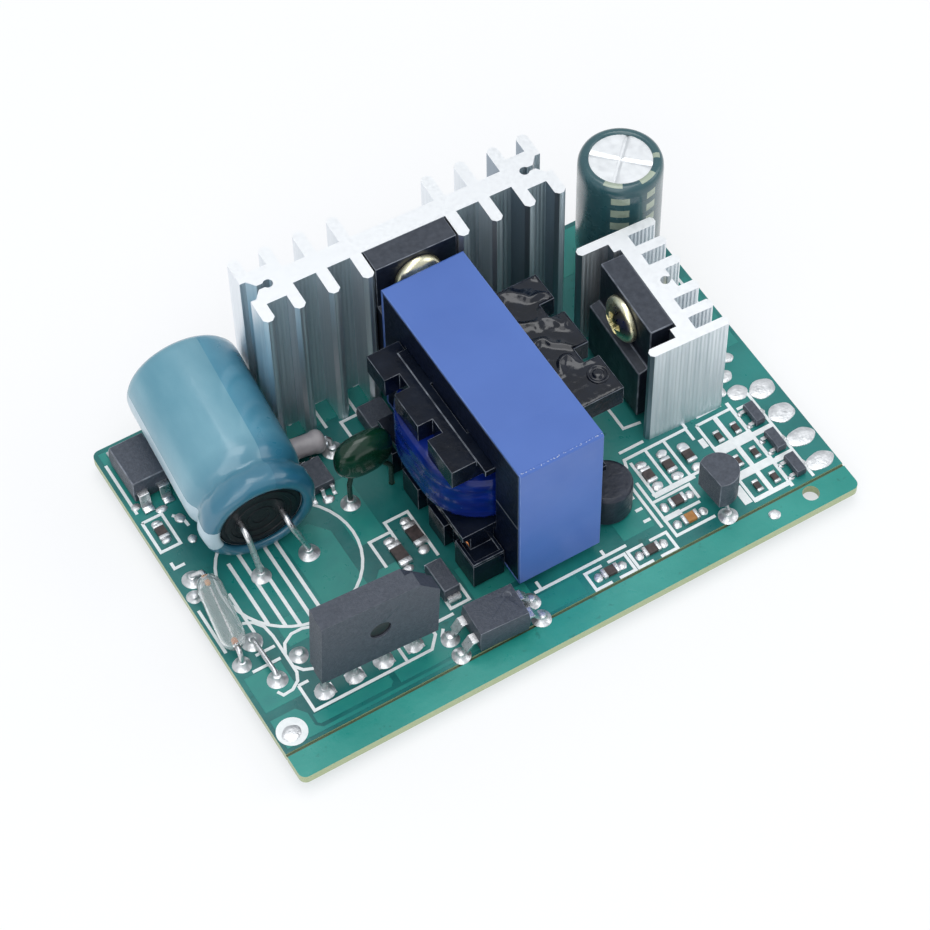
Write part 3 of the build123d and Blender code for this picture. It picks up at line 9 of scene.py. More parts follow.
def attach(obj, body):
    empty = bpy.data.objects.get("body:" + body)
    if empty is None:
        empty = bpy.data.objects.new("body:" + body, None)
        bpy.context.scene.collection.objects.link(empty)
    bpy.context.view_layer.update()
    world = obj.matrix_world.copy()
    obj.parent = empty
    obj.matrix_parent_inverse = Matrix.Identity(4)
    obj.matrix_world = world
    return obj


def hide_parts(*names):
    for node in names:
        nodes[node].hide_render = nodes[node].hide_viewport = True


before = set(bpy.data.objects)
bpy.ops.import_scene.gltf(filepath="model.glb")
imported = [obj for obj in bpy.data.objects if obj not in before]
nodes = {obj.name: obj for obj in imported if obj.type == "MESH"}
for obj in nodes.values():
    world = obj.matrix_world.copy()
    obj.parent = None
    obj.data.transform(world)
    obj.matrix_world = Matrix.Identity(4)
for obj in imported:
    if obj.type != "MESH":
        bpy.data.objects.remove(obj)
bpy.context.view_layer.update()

# Camera and studio. The supply is seen from above its front left corner, on white card. The strongest lamp
# stands behind and above it and lights the tops of the metal, and three weaker ones stand round its front.
# The card glows a little where it is seen directly, in a mirror or through glass, so that it looks white.
MM = 0.001
VIEW_PLACE = Vector((-100.95, -172.88, 296.30)) * MM
VIEW_TURN, VIEW_DROP, VIEW_ROLL = math.radians(-30.0), math.radians(90 - 55.61), math.radians(-1.21)
VIEW_LENS = 120.0
LAMPS = [
    ("lamp_behind", (0.07, 0.13, 0.81), 0.45, 1.7),
    ("lamp_overhead", (-0.22, -0.25, 0.70), 0.50, 1.1),
    ("lamp_front_left", (-0.50, -0.50, 0.45), 0.50, 1.1),
    ("lamp_right", (0.60, -0.25, 0.40), 0.45, 0.9),
]
ROOM_COLOUR, ROOM_LIGHT = (0.90, 0.95, 1.0, 1), 0.62
CARD_HALF, CARD_COLOUR, CARD_ROUGHNESS = 1.5, (0.94, 0.94, 0.95, 1), 0.9
GLOW_COLOUR, CARD_GLOW = (0.985, 0.99, 1.0, 1), 0.62

camera_data = bpy.data.cameras.new("studio_camera")
camera_data.lens = VIEW_LENS
camera_data.sensor_width = 36.0
camera_data.clip_start, camera_data.clip_end = 0.01, 10.0
camera = bpy.data.objects.new("studio_camera", camera_data)
camera.matrix_world = (
    Matrix.Translation(VIEW_PLACE)
    @ Matrix.Rotation(VIEW_TURN, 4, "Z")
    @ Matrix.Rotation(VIEW_DROP, 4, "X")
    @ Matrix.Rotation(VIEW_ROLL, 4, "Z")
)
bpy.context.scene.collection.objects.link(camera)
bpy.context.scene.camera = camera
bpy.context.scene.view_settings.view_transform = "Standard"

for name, lamp_place, side, power in LAMPS:
    lamp = bpy.data.lights.new(name, "AREA")
    lamp.shape, lamp.size, lamp.energy = "SQUARE", side, power
    holder = bpy.data.objects.new(name, lamp)
    holder.location = lamp_place
    holder.rotation_euler = (-Vector(lamp_place)).to_track_quat("-Z", "Y").to_euler()
    bpy.context.scene.collection.objects.link(holder)

world = bpy.data.worlds.new("studio_room")
world.use_nodes = True
world.node_tree.nodes["Background"].inputs["Color"].default_value = ROOM_COLOUR
world.node_tree.nodes["Background"].inputs["Strength"].default_value = ROOM_LIGHT
bpy.context.scene.world = world

card_mesh = bpy.data.meshes.new("white_card")
card_mesh.from_pydata(
    [(x * CARD_HALF, y * CARD_HALF, 0) for x, y in ((-1, -1), (1, -1), (1, 1), (-1, 1))], [], [(0, 1, 2, 3)]
)
card = bpy.data.objects.new("white_card", card_mesh)
bpy.context.scene.collection.objects.link(card)
card_finish = bpy.data.materials.new("white_card")
card_finish.use_nodes = True
card_tree = card_finish.node_tree
card_tree.nodes["Principled BSDF"].inputs["Base Color"].default_value = CARD_COLOUR
card_tree.nodes["Principled BSDF"].inputs["Roughness"].default_value = CARD_ROUGHNESS
glow = card_tree.nodes.new("ShaderNodeEmission")
glow.inputs["Color"].default_value = GLOW_COLOUR
rays = card_tree.nodes.new("ShaderNodeLightPath")
watched = rays.outputs["Is Camera Ray"]
for kind in ("Is Glossy Ray", "Is Transmission Ray"):
    either = card_tree.nodes.new("ShaderNodeMath")
    either.operation = "MAXIMUM"
    card_tree.links.new(watched, either.inputs[0])
    card_tree.links.new(rays.outputs[kind], either.inputs[1])
    watched = either.outputs[0]
seen = card_tree.nodes.new("ShaderNodeMath")
seen.operation = "MULTIPLY"
seen.inputs[1].default_value = CARD_GLOW
card_tree.links.new(watched, seen.inputs[0])
shares = card_tree.nodes.new("ShaderNodeMixShader")
card_tree.links.new(seen.outputs[0], shares.inputs[0])
card_tree.links.new(card_tree.nodes["Principled BSDF"].outputs[0], shares.inputs[1])
card_tree.links.new(glow.outputs[0], shares.inputs[2])
card_tree.links.new(shares.outputs[0], card_tree.nodes["Material Output"].inputs["Surface"])
card_mesh.materials.append(card_finish)


# Circuit board. Glass laminate 1.2 mm thick under a teal solder mask, which looks lighter where there is
# copper under it. It was scored and snapped from a panel, so its edges show the bare laminate.
BOARD_LENGTH, BOARD_WIDTH, BOARD_TOP = 73.0, 49.8, 2.8
SCORE_LINE = 3.45
COPPER_RISE = 0.035
MASK_OVER_GLASS = (0.006, 0.120, 0.118)
MASK_OVER_COPPER = (0.016, 0.220, 0.200)
RAISED_MASK_PALE = (0.020, 0.260, 0.220)
STRIP_DEEP, STRIP_PALE = (0.014, 0.255, 0.215), (0.036, 0.325, 0.275)
SCORE_TONE, SCORE_HALF_WIDTH = (0.085, 0.105, 0.050), 0.15
SPECK_TONE = (0.005, 0.060, 0.050)
LAMINATE_DARK, LAMINATE_PALE = (0.30, 0.38, 0.20), (0.50, 0.54, 0.30)


def box_outline(left, front, right, back):
    """The four corners of a rectangle in (u, v)."""
    return [(left, front), (right, front), (right, back), (left, back)]


COPPER_AREAS = [
    [(0.5, 4.1), (22.0, 4.1), (22.0, 4.5), (5.2, 4.5), (4.5, 5.1), (4.5, 6.9), (3.6, 8.1), (0.5, 8.1)],
    [(5.2, 5.0), (14.0, 5.0), (14.5, 5.5), (14.5, 6.4), (4.9, 6.4), (4.9, 5.3)],
    [(15.2, 4.9), (21.6, 4.9), (22.4, 5.8), (22.4, 9.4), (16.8, 9.4), (15.2, 8.6)],
    [(12.9, 14.4), (18.4, 14.4), (18.4, 26.2), (16.6, 28.4), (12.9, 28.4)],
    box_outline(0.6, 9.2, 5.2, 14.2),
    [(7.0, 15.2), (12.4, 15.2), (12.4, 18.0), (9.4, 18.8), (7.0, 18.8)],
    [(19.2, 10.2), (22.6, 10.2), (22.6, 18.8), (20.4, 18.8), (19.2, 17.6)],
    box_outline(27.6, 9.6, 33.4, 14.4),
    [(23.4, 4.0), (38.8, 4.0), (38.8, 6.6), (33.4, 6.6), (33.4, 8.9), (30.4, 8.9), (30.4, 7.2),
     (23.4, 7.2)],
    [(45.9, 7.7), (50.1, 7.7), (50.1, 17.6), (46.4, 20.6), (45.9, 20.6)],
    [(61.4, 17.4), (66.0, 17.4), (66.0, 24.4), (63.8, 26.4), (61.4, 26.4)],
    box_outline(66.8, 24.2, 72.5, 35.6),
    box_outline(0.6, 39.8, 6.0, 49.2),
    box_outline(18.2, 39.6, 36.0, 49.2),
    box_outline(20.0, 22.6, 23.6, 31.8),
    box_outline(59.4, 43.0, 72.3, 49.2),
]


def place(u, v, h=0.0):
    """A place on the board in metres: u along its front edge, v back from it, h above its face."""
    return Vector((u - BOARD_LENGTH / 2, v - BOARD_WIDTH / 2, BOARD_TOP + h)) * MM


class Finish:
    """A surface finish: its material and short ways to mix its colour, gloss and relief."""

    def __init__(self, name):
        self.material = bpy.data.materials.new(name)
        self.material.use_nodes = True
        self.tree = self.material.node_tree
        self.shader = self.tree.nodes["Principled BSDF"]
        self.place = self.tree.nodes.new("ShaderNodeTexCoord").outputs["Object"]

    def node(self, kind, links=(), **settings):
        made = self.tree.nodes.new(kind)
        for key, value in settings.items():
            setattr(made, key, value)
        for socket, source in dict(links).items():
            if isinstance(source, bpy.types.NodeSocket):
                self.tree.links.new(source, made.inputs[socket])
            else:
                made.inputs[socket].default_value = source
        return made

    def noise(self, scale, detail=3.0, stretch=(1, 1, 1), distort=0.0):
        """Cloudy values from 0 to 1, scale in features a metre, squeezed or stretched by axis."""
        spread = self.node("ShaderNodeMapping", {"Vector": self.place, "Scale": stretch})
        return self.node("ShaderNodeTexNoise", {
            "Vector": spread.outputs[0], "Scale": scale, "Detail": detail, "Distortion": distort,
        }).outputs["Fac"]

    def math(self, operation, a, b=0.0):
        return self.node("ShaderNodeMath", {0: a, 1: b}, operation=operation).outputs[0]

    def times(self, a, b):
        return self.math("MULTIPLY", a, b)

    def below(self, a, b):
        return self.math("LESS_THAN", a, b)

    def above(self, a, b):
        return self.math("GREATER_THAN", a, b)

    def span(self, value, low, high, to_low=0.0, to_high=1.0):
        """Value mapped from low..high to to_low..to_high, and held there."""
        return self.node("ShaderNodeMapRange", {
            "Value": value, "From Min": low, "From Max": high, "To Min": to_low, "To Max": to_high,
        }).outputs[0]

    def cloud(self, scale, low=0.0, high=1.0, detail=3.0, stretch=(1, 1, 1)):
        """Cloudy values that fill low..high."""
        return self.span(self.noise(scale, detail, stretch), 0.3, 0.7, low, high)

    def blend(self, share, first, second):
        """Colour between two, by share."""
        made = self.node("ShaderNodeMix", data_type="RGBA")
        for socket, source in ((0, share), (6, first), (7, second)):
            if isinstance(source, bpy.types.NodeSocket):
                self.tree.links.new(source, made.inputs[socket])
            else:
                made.inputs[socket].default_value = source if socket == 0 else (*source, 1)
        return made.outputs[2]

    def axes(self):
        """The place's x, y and z, in metres."""
        return self.node("ShaderNodeSeparateXYZ", {0: self.place}).outputs

    def facing(self):
        """The surface normal's x, y and z."""
        normal = self.tree.nodes.new("ShaderNodeNewGeometry").outputs["Normal"]
        return self.node("ShaderNodeSeparateXYZ", {0: normal}).outputs

    def colour(self, source):
        self.tree.links.new(source, self.shader.inputs["Base Color"])

    def rough(self, source):
        self.tree.links.new(source, self.shader.inputs["Roughness"])

    def bump(self, height, depth):
        """Relief of the given depth in metres."""
        relief = self.node("ShaderNodeBump", {"Height": height, "Distance": depth})
        self.tree.links.new(relief.outputs[0], self.shader.inputs["Normal"])

    def set(self, **values):
        """Plain settings of the shader, such as Metallic or IOR."""
        for key, value in values.items():
            self.shader.inputs[key.replace("_", " ")].default_value = value


def mottled(name, colour, other, rough=0.5, scale=900.0, relief=0.0, metal=0.0):
    """A finish whose colour and gloss drift a little over its surface."""
    finish = Finish(name)
    finish.colour(finish.blend(finish.cloud(scale, detail=4.0), colour, other))
    finish.rough(finish.cloud(scale * 1.7, rough * 0.8, rough * 1.2))
    finish.set(Metallic=metal)
    if relief:
        finish.bump(finish.noise(scale * 2.5, 4.0), relief)
    return finish


def paint(finish, *names):
    """Gives CAD nodes one finish."""
    for name in names:
        mesh = nodes[name].data
        mesh.materials.clear()
        mesh.materials.append(finish.material)


def keep(name, mesh, finishes, slot, *stands_for, sharp=35):
    """Turns a finished mesh into a piece of the object, smooth but for its edges over the sharp angle."""
    bmesh.ops.recalc_face_normals(mesh, faces=mesh.faces)
    data = bpy.data.meshes.new(name)
    mesh.to_mesh(data)
    mesh.free()
    for finish in finishes:
        data.materials.append(finish.material)
    data.shade_smooth()
    data.set_sharp_from_angle(angle=math.radians(sharp))
    piece = bpy.data.objects.new(name, data)
    bpy.context.scene.collection.objects.link(piece)
    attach(piece, "root")
    if stands_for:
        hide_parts(*stands_for)
    return piece


def slab(mesh, outline, low, high, inset=0.0):
    """A flat plate over the outline in (u, v), its top pulled in by the inset."""
    middle_u = sum(u for u, v in outline) / len(outline)
    middle_v = sum(v for u, v in outline) / len(outline)
    rings = []
    for h, pull in ((low, 0.0), (high, inset)):
        ring = []
        for u, v in outline:
            away = Vector((u - middle_u, v - middle_v))
            shrink = max(0.0, 1 - pull / max(away.length, 1e-6))
            ring.append(mesh.verts.new(place(middle_u + away.x * shrink, middle_v + away.y * shrink, h)))
        rings.append(ring)
    count = len(outline)
    mesh.faces.new(rings[1])
    mesh.faces.new(rings[0][::-1])
    for i in range(count):
        j = (i + 1) % count
        mesh.faces.new((rings[0][i], rings[0][j], rings[1][j], rings[1][i]))


board = Finish("solder_mask")
board_v = board.axes()[1]
board_up = board.facing()[2]
score_at = (SCORE_LINE - BOARD_WIDTH / 2) * MM
mask_tone = board.blend(board.span(board.noise(90, 3.0), 0.35, 0.65), MASK_OVER_GLASS, MASK_OVER_COPPER)
front_strip = board.below(board_v, score_at)
strip_tone = board.blend(board.span(board.noise(120, 3.0), 0.35, 0.7), STRIP_DEEP, STRIP_PALE)
mask_tone = board.blend(front_strip, mask_tone, strip_tone)
from_score = board.math("ABSOLUTE", board.math("SUBTRACT", board_v, score_at))
score = board.below(from_score, SCORE_HALF_WIDTH * MM)
mask_tone = board.blend(score, mask_tone, SCORE_TONE)
specks = board.times(board.span(board.noise(900, 4.0), 0.66, 0.74), 0.35)
mask_tone = board.blend(specks, mask_tone, SPECK_TONE)
edge = board.below(board.math("ABSOLUTE", board_up), 0.5)
laminate = board.blend(board.noise(2500, 3.0, (1, 1, 6)), LAMINATE_DARK, LAMINATE_PALE)
board.colour(board.blend(edge, mask_tone, laminate))
board.rough(board.cloud(700, 0.26, 0.42, 4.0))
board.bump(board.noise(1400, 3.0), 0.00002)
paint(board, "circuit_board")

raised_mask = mottled("mask_over_copper", MASK_OVER_COPPER, RAISED_MASK_PALE, 0.33, 500, 0.00001)
copper = bmesh.new()
for outline in COPPER_AREAS:
    slab(copper, outline, 0.0, COPPER_RISE, COPPER_RISE)
keep("copper_areas", copper, [raised_mask], "board")

# Printed legend. White ink screened on the mask in a thin coat, which outlines where each part stands, in
# plain lines, bars and rings. Crossing lines differ a little in height, as overprinted ink does.
INK_WIDTH, INK_RISE = 0.36, 0.055
CAN_RING = (12.2, 24.8, 8.3)
INK_LINES = [
    [(5.35, 10.4), (5.35, 6.75), (20.2, 6.75), (21.5, 8.2), (21.5, 10.4)],
    [(17.1, 6.75), (17.1, 9.6)],
    [(5.35, 10.4), (6.6, 10.4)],
    [(1.9, 14.5), (5.4, 14.5)],
    [(3.2, 16.2), (5.6, 16.2)],
    [(3.9, 20.6), (5.0, 20.1), (5.8, 19.0), (6.05, 17.4), (6.05, 12.0), (5.6, 11.0), (4.6, 10.3),
     (3.4, 10.2), (3.0, 10.9)],
    [(6.05, 14.6), (6.7, 15.9), (7.9, 16.6), (9.3, 16.6), (10.4, 16.2)],
    [(6.05, 12.9), (6.8, 11.9), (8.2, 11.3), (9.2, 11.5)],
    [(21.3, 18.6), (21.3, 22.5), (24.3, 22.5)],
    [(24.1, 18.2), (24.1, 23.9), (27.1, 23.9), (27.1, 17.0)],
    [(22.4, 9.5), (24.6, 9.5)],
    [(24.7, 13.2), (24.7, 10.2), (27.1, 10.2), (27.1, 12.6)],
    [(22.6, 8.4), (22.0, 7.6), (22.4, 6.6)],
    [(33.7, 7.1), (45.8, 7.1)],
    [(34.6, 7.1), (34.6, 8.3)],
    [(43.0, 7.1), (43.0, 8.0)],
    [(42.0, 6.25), (39.8, 6.25), (39.8, 3.8), (41.9, 3.8)],
    [(42.8, 6.25), (45.0, 6.25), (45.0, 3.8), (42.9, 3.8)],
    [(47.5, 6.25), (45.45, 6.25), (45.45, 3.8), (47.4, 3.8)],
    [(48.4, 6.25), (50.6, 6.25), (50.6, 3.8), (48.4, 3.8)],
    [(50.6, 7.0), (50.6, 14.4), (51.6, 16.0), (51.9, 17.0), (60.3, 17.0), (60.3, 15.2)],
    [(56.6, 5.2), (51.4, 5.2), (51.4, 13.6)],
    [(51.4, 7.75), (56.2, 7.75)],
    [(51.4, 10.35), (56.4, 10.35), (56.4, 8.2)],
    [(52.0, 11.2), (60.0, 11.2)],
    [(52.3, 16.3), (52.3, 11.2)],
    [(54.7, 16.9), (54.7, 11.2)],
    [(57.2, 16.9), (57.2, 11.2)],
    [(51.9, 18.1), (55.2, 18.1)],
    [(54.2, 24.0), (54.2, 20.8), (56.4, 20.5)],
    [(60.4, 18.2), (60.4, 17.0)],
    [(61.6, 16.7), (66.4, 16.7), (66.4, 4.5), (61.6, 4.5), (61.6, 16.7)],
    [(64.0, 16.7), (64.0, 4.5)],
    [(61.6, 12.9), (66.4, 12.9)],
    [(61.6, 11.9), (66.4, 11.9)],
    [(61.6, 8.6), (66.4, 8.6)],
    [(61.6, 7.9), (66.4, 7.9)],
    [(66.9, 16.2), (69.0, 16.2)],
    [(66.9, 12.3), (69.0, 12.3)],
    [(66.9, 8.2), (69.0, 8.2)],
    [(69.2, 3.9), (69.2, 17.9)],
    [(21.6, 41.3), (21.6, 42.8), (24.1, 42.8)],
    [(25.0, 38.8), (25.0, 42.6), (28.6, 42.6)],
    [(26.8, 35.6), (26.8, 38.6), (29.1, 38.6), (29.1, 41.8)],
    [(30.5, 42.4), (33.2, 42.4)],
    [(0.7, 47.4), (0.7, 39.6)],
    [(0.6, 38.2), (3.1, 38.2), (3.1, 33.6), (0.6, 33.6), (0.6, 38.2)],
    [(4.0, 37.4), (4.9, 36.4), (5.0, 35.2)],
    [(0.9, 31.8), (0.9, 30.9), (2.2, 30.9)],
    [(0.55, 24.6), (0.55, 18.2)],
    [(4.5, 24.8), (4.5, 18.4)],
    [(71.6, 36.2), (71.6, 29.0), (67.6, 27.2), (67.6, 24.8)],
    [(63.0, 27.0), (63.0, 34.6)],
    [(59.6, 34.8), (62.6, 34.8)],
]
INK_PATCHES = [
    box_outline(60.6, 13.6, 61.3, 14.9),
    box_outline(60.7, 9.2, 61.3, 12.2),
    box_outline(60.3, 4.6, 61.3, 7.2),
    box_outline(49.2, 11.9, 50.1, 12.3),
    box_outline(49.2, 10.2, 50.1, 10.6),
    box_outline(49.2, 8.5, 50.1, 8.9),
    box_outline(61.6, 11.8, 66.4, 13.1),
    box_outline(61.6, 7.8, 66.4, 8.75),
    box_outline(63.75, 4.5, 64.35, 16.7),
    box_outline(66.15, 4.0, 66.6, 17.6),
    box_outline(61.6, 4.3, 66.4, 4.9),
    box_outline(62.2, 17.5, 65.6, 18.2),
    box_outline(66.6, 11.9, 69.3, 12.6),
    box_outline(66.6, 7.6, 69.3, 8.3),
    box_outline(59.6, 10.2, 60.5, 11.4),
    box_outline(52.1, 10.7, 57.6, 11.4),
    box_outline(51.2, 7.4, 53.6, 8.1),
]
HATCH_LINES, HATCH_WIDTH = [6.35, 7.9, 9.35, 10.9, 12.3], INK_WIDTH * 1.2
INPUT_RING = (1.95, 5.75, 1.78)


def ribbon(mesh, points, width, low, high, loop=False):
    """A flat strip along the points in (u, v), with mitred corners."""
    count = len(points)
    flat = [Vector(spot) for spot in points]
    rows = []
    for i, spot in enumerate(flat):
        before = flat[i - 1] if i or loop else None
        after = flat[(i + 1) % count] if i < count - 1 or loop else None
        way_in = (spot - before).normalized() if before is not None else None
        way_out = (after - spot).normalized() if after is not None else None
        along = (way_in or way_out) + (way_out or way_in)
        along.normalize()
        side = Vector((-along.y, along.x))
        turn = side.dot(Vector((-(way_in or way_out).y, (way_in or way_out).x)))
        reach = width / 2 / max(turn, 0.4)
        left, right = spot + side * reach, spot - side * reach
        corners = ((left, low), (right, low), (right, high), (left, high))
        rows.append([mesh.verts.new(place(corner.x, corner.y, h)) for corner, h in corners])
    for i in range(count if loop else count - 1):
        first, second = rows[i], rows[(i + 1) % count]
        for k in range(4):
            mesh.faces.new((first[k], first[(k + 1) % 4], second[(k + 1) % 4], second[k]))
    if not loop:
        mesh.faces.new(rows[0][::-1])
        mesh.faces.new(rows[-1])


def ring_points(u, v, radius, count=40):
    """Points round a circle on the board."""
    angles = [math.radians(360.0 * i / count) for i in range(count)]
    return [(u + radius * math.cos(angle), v + radius * math.sin(angle)) for angle in angles]


ink = mottled("legend_ink", (0.80, 0.84, 0.84), (0.92, 0.94, 0.94), 0.55, 1300, 0.00002)
legend = bmesh.new()
for number, line in enumerate(INK_LINES):
    ribbon(legend, line, INK_WIDTH, 0.0, INK_RISE * (1.02 + 0.003 * number))
ribbon(legend, ring_points(*CAN_RING), INK_WIDTH, 0.0, INK_RISE, True)
for u in HATCH_LINES:
    chord = math.sqrt(CAN_RING[2] ** 2 - (u - CAN_RING[0]) ** 2)
    hatch = [(u, CAN_RING[1] - chord + 0.1), (u, CAN_RING[1] + chord * 0.6)]
    ribbon(legend, hatch, HATCH_WIDTH, 0.0, INK_RISE * 0.99)
for number, patch in enumerate(INK_PATCHES):
    slab(legend, patch, 0.0, INK_RISE * (0.76 + 0.01 * number))
slab(legend, ring_points(*INPUT_RING, 32), 0.0, INK_RISE)
keep("printed_legend", legend, [ink], "board")

# Solder and tinned pads. Tin solder set dull and uneven: concave domes round the leads on top, pointed
# cones round the clipped leads below, and flat lumps on the bare pads.
DOME_RADIUS, DOME_HEIGHT, DOME_NIB = 1.18, 0.80, 0.44
BOARD_THICKNESS = 1.2
CAN_HOLES = [(8.76, 25.05), (14.82, 24.94)]
BRIDGE_HOLES = [(7.5, 8.35), (11.25, 8.35), (15.0, 8.35), (18.75, 8.35)]
FUSE_HOLES = [(1.38, 15.9), (1.9, 28.5)]
LINK_HOLES = [(3.7, 17.85), (3.8, 12.3)]
FILM_HOLES = [(22.2, 28.3), (27.6, 28.3)]
DOME_PLACES = CAN_HOLES + BRIDGE_HOLES + FUSE_HOLES + LINK_HOLES + [
    (7.3, 13.7), (0.98, 26.4), (22.49, 4.35), (22.56, 6.88), (32.64, 3.81), (32.71, 6.35),
    FILM_HOLES[0], (57.74, 4.42), (24.0, 35.6),
]
JOINT_PLACES = DOME_PLACES + [
    (63.8, 41.3), (68.8, 41.3), (17.2, 38.05), FILM_HOLES[1], (45.55, 12.9), (48.05, 12.9),
    (57.9, 6.95), (58.06, 9.48), (21.77, 43.87), (54.2, 42.77), (62.84, 26.4),
    (29.4, 13.475), (29.4, 19.225), (29.4, 24.975), (29.4, 30.725),
    (45.8, 19.225), (45.8, 24.975), (45.8, 30.725),
    (35.32, 39.41), (37.86, 39.32), (40.4, 39.24), (57.62, 23.9), (57.73, 26.5), (57.85, 29.0),
]
PAD_LUMPS = [
    (71.05, 17.15, 1.74, 1.3), (71.05, 13.15, 1.74, 1.32), (71.05, 9.15, 1.74, 1.3),
    (71.05, 5.3, 1.74, 1.25), (68.3, 18.15, 1.2, 1.15), (68.3, 20.9, 0.95, 0.9), (66.7, 19.2, 0.6, 0.7),
    (70.0, 23.0, 0.8, 0.75), (1.8, 5.55, 1.22, 0.98), (62.4, 1.8, 0.7, 0.7), (46.3, 5.1, 0.55, 0.6),
    (49.5, 5.1, 0.55, 0.6), (40.85, 5.05, 0.55, 0.6), (43.95, 5.05, 0.55, 0.6), (53.2, 12.0, 0.75, 0.6),
    (55.9, 12.0, 0.75, 0.6), (58.5, 11.9, 0.7, 0.55), (53.1, 15.4, 0.7, 0.55), (56.0, 15.5, 0.7, 0.55),
    (58.6, 15.1, 0.7, 0.55), (52.25, 9.1, 0.55, 0.65), (55.7, 9.1, 0.5, 0.6), (52.25, 6.4, 0.55, 0.6),
    (55.75, 6.4, 0.5, 0.6), (26.1, 18.5, 0.75, 0.6), (26.2, 22.9, 0.7, 0.5), (23.3, 17.2, 0.7, 0.5),
    (23.3, 21.5, 0.7, 0.5), (66.85, 15.4, 0.45, 0.35), (66.85, 13.4, 0.45, 0.35),
    (66.85, 10.9, 0.45, 0.35), (66.85, 9.05, 0.45, 0.35), (66.85, 7.0, 0.45, 0.35),
    (66.85, 5.0, 0.45, 0.35), (69.1, 14.35, 0.45, 0.35), (69.1, 10.0, 0.45, 0.35),
    (69.1, 6.0, 0.45, 0.35), (1.9, 37.3, 0.6, 0.4), (1.9, 34.7, 0.6, 0.4), (4.6, 36.6, 0.6, 0.7),
    (4.5, 33.4, 0.5, 0.6), (3.4, 38.75, 0.7, 0.5), (1.0, 40.5, 0.6, 0.5), (24.0, 37.0, 0.8, 0.7),
    (20.3, 30.0, 0.7, 0.6),
]
SQUARE_PADS = [(7.55, 8.25), (11.3, 8.25), (15.0, 8.25), (18.75, 8.25)]
PAD_HALF_SIZE, PAD_RISE, PAD_EDGE = (1.1, 0.75), 0.09, 0.08
CONE = [
    (0.98, 0.0), (0.97, 0.08), (0.80, 0.30), (0.62, 0.62), (0.46, 1.05), (0.36, 1.42), (0.24, 1.55),
    (0, 1.6),
]
BIG_LUMP, BIG_LUMP_RISE, SMALL_LUMP_RISE = 0.9, 0.2, 0.24


def spun(mesh, profile, frame_matrix, sides=28, wobble=None, lift=None):
    """A turned shape: rings of (radius, height) in millimetres, in the frame's own x, y and z.

    wobble(angle, ring) gives a factor for the radius, lift(x, y, ring) moves a point up or down, and a
    radius of 0 closes the shape in a point."""
    rings = []
    for index, (radius, height) in enumerate(profile):
        if radius <= 0:
            height += lift(0.0, 0.0, index) if lift else 0.0
            rings.append([mesh.verts.new(frame_matrix @ (Vector((0, 0, height)) * MM))])
            continue
        ring = []
        for k in range(sides):
            angle = math.tau * k / sides
            reach = radius * (wobble(angle, index) if wobble else 1.0)
            x, y = reach * math.cos(angle), reach * math.sin(angle)
            rise = lift(x, y, index) if lift else 0.0
            ring.append(mesh.verts.new(frame_matrix @ (Vector((x, y, height + rise)) * MM)))
        rings.append(ring)
    made = []
    for first, second in zip(rings, rings[1:]):
        for k in range(sides):
            after = (k + 1) % sides
            if len(first) == 1 and len(second) == 1:
                continue
            if len(first) == 1:
                face = mesh.faces.new((first[0], second[after], second[k]))
            elif len(second) == 1:
                face = mesh.faces.new((first[k], first[after], second[0]))
            else:
                face = mesh.faces.new((first[k], first[after], second[after], second[k]))
            made.append((k, face))
    if len(rings[0]) > 1:
        mesh.faces.new(rings[0][::-1])
    if len(rings[-1]) > 1:
        mesh.faces.new(rings[-1])
    return made


def upright(u, v, h=0.0):
    """The frame of a shape that stands on the board."""
    return Matrix.Translation(place(u, v, h))


def lump(mesh, u, v, half_length, half_width, rise, chance):
    """A flat oval of solder, a little uneven."""
    phase = chance.uniform(0, math.tau)
    frame_matrix = upright(u, v) @ Matrix.Diagonal((half_length, half_width, 1, 1))

    def uneven(angle, ring):
        return 1 + 0.05 * math.sin(2 * angle + phase) + 0.03 * math.sin(5 * angle + phase)

    spun(mesh, [(1.0, 0.0), (0.97, rise * 0.45), (0.80, rise * 0.8), (0.45, rise), (0, rise * 1.02)],
         frame_matrix, 24, uneven)


solder = mottled("dull_solder", (0.62, 0.63, 0.64), (0.90, 0.90, 0.91), 0.38, 1100, 0.00005, 0.85)
chance = random.Random(11)
domes = bmesh.new()
for u, v in DOME_PLACES:
    size = min(chance.uniform(0.92, 1.08), u / (DOME_RADIUS * 1.09))
    radius, height = DOME_RADIUS * size, DOME_HEIGHT * size
    skew = chance.uniform(0, math.tau)

    def uneven(angle, ring):
        return 1 + 0.05 * math.sin(angle + skew) + 0.03 * math.sin(3 * angle + skew)

    spun(domes, [
        (radius, 0.0), (radius * 0.99, 0.07), (radius * 0.82, 0.17), (radius * 0.62, 0.33),
        (DOME_NIB * 1.15, 0.56), (DOME_NIB, height), (DOME_NIB * 0.6, height + 0.06), (0, height + 0.08),
    ], upright(u, v), 24, uneven)
keep("solder_domes", domes, [solder], "solder", "solder_joints_top")

cones = bmesh.new()
for u, v in JOINT_PLACES:
    spun(cones, CONE, upright(u, v, -BOARD_THICKNESS) @ Matrix.Rotation(math.pi, 4, "X"), 20)
keep("solder_cones", cones, [solder], "solder", "solder_joints_below")

pads = bmesh.new()
for u, v, half_length, half_width in PAD_LUMPS:
    rise = BIG_LUMP_RISE if half_length > BIG_LUMP else SMALL_LUMP_RISE
    lump(pads, u, v, half_length, half_width, rise, chance)
for u, v in SQUARE_PADS:
    half_u, half_v = PAD_HALF_SIZE
    slab(pads, box_outline(u - half_u, v - half_v, u + half_u, v + half_v), 0.0, PAD_RISE, PAD_EDGE)
keep("tinned_lumps", pads, [solder], "solder", "tinned_pads")

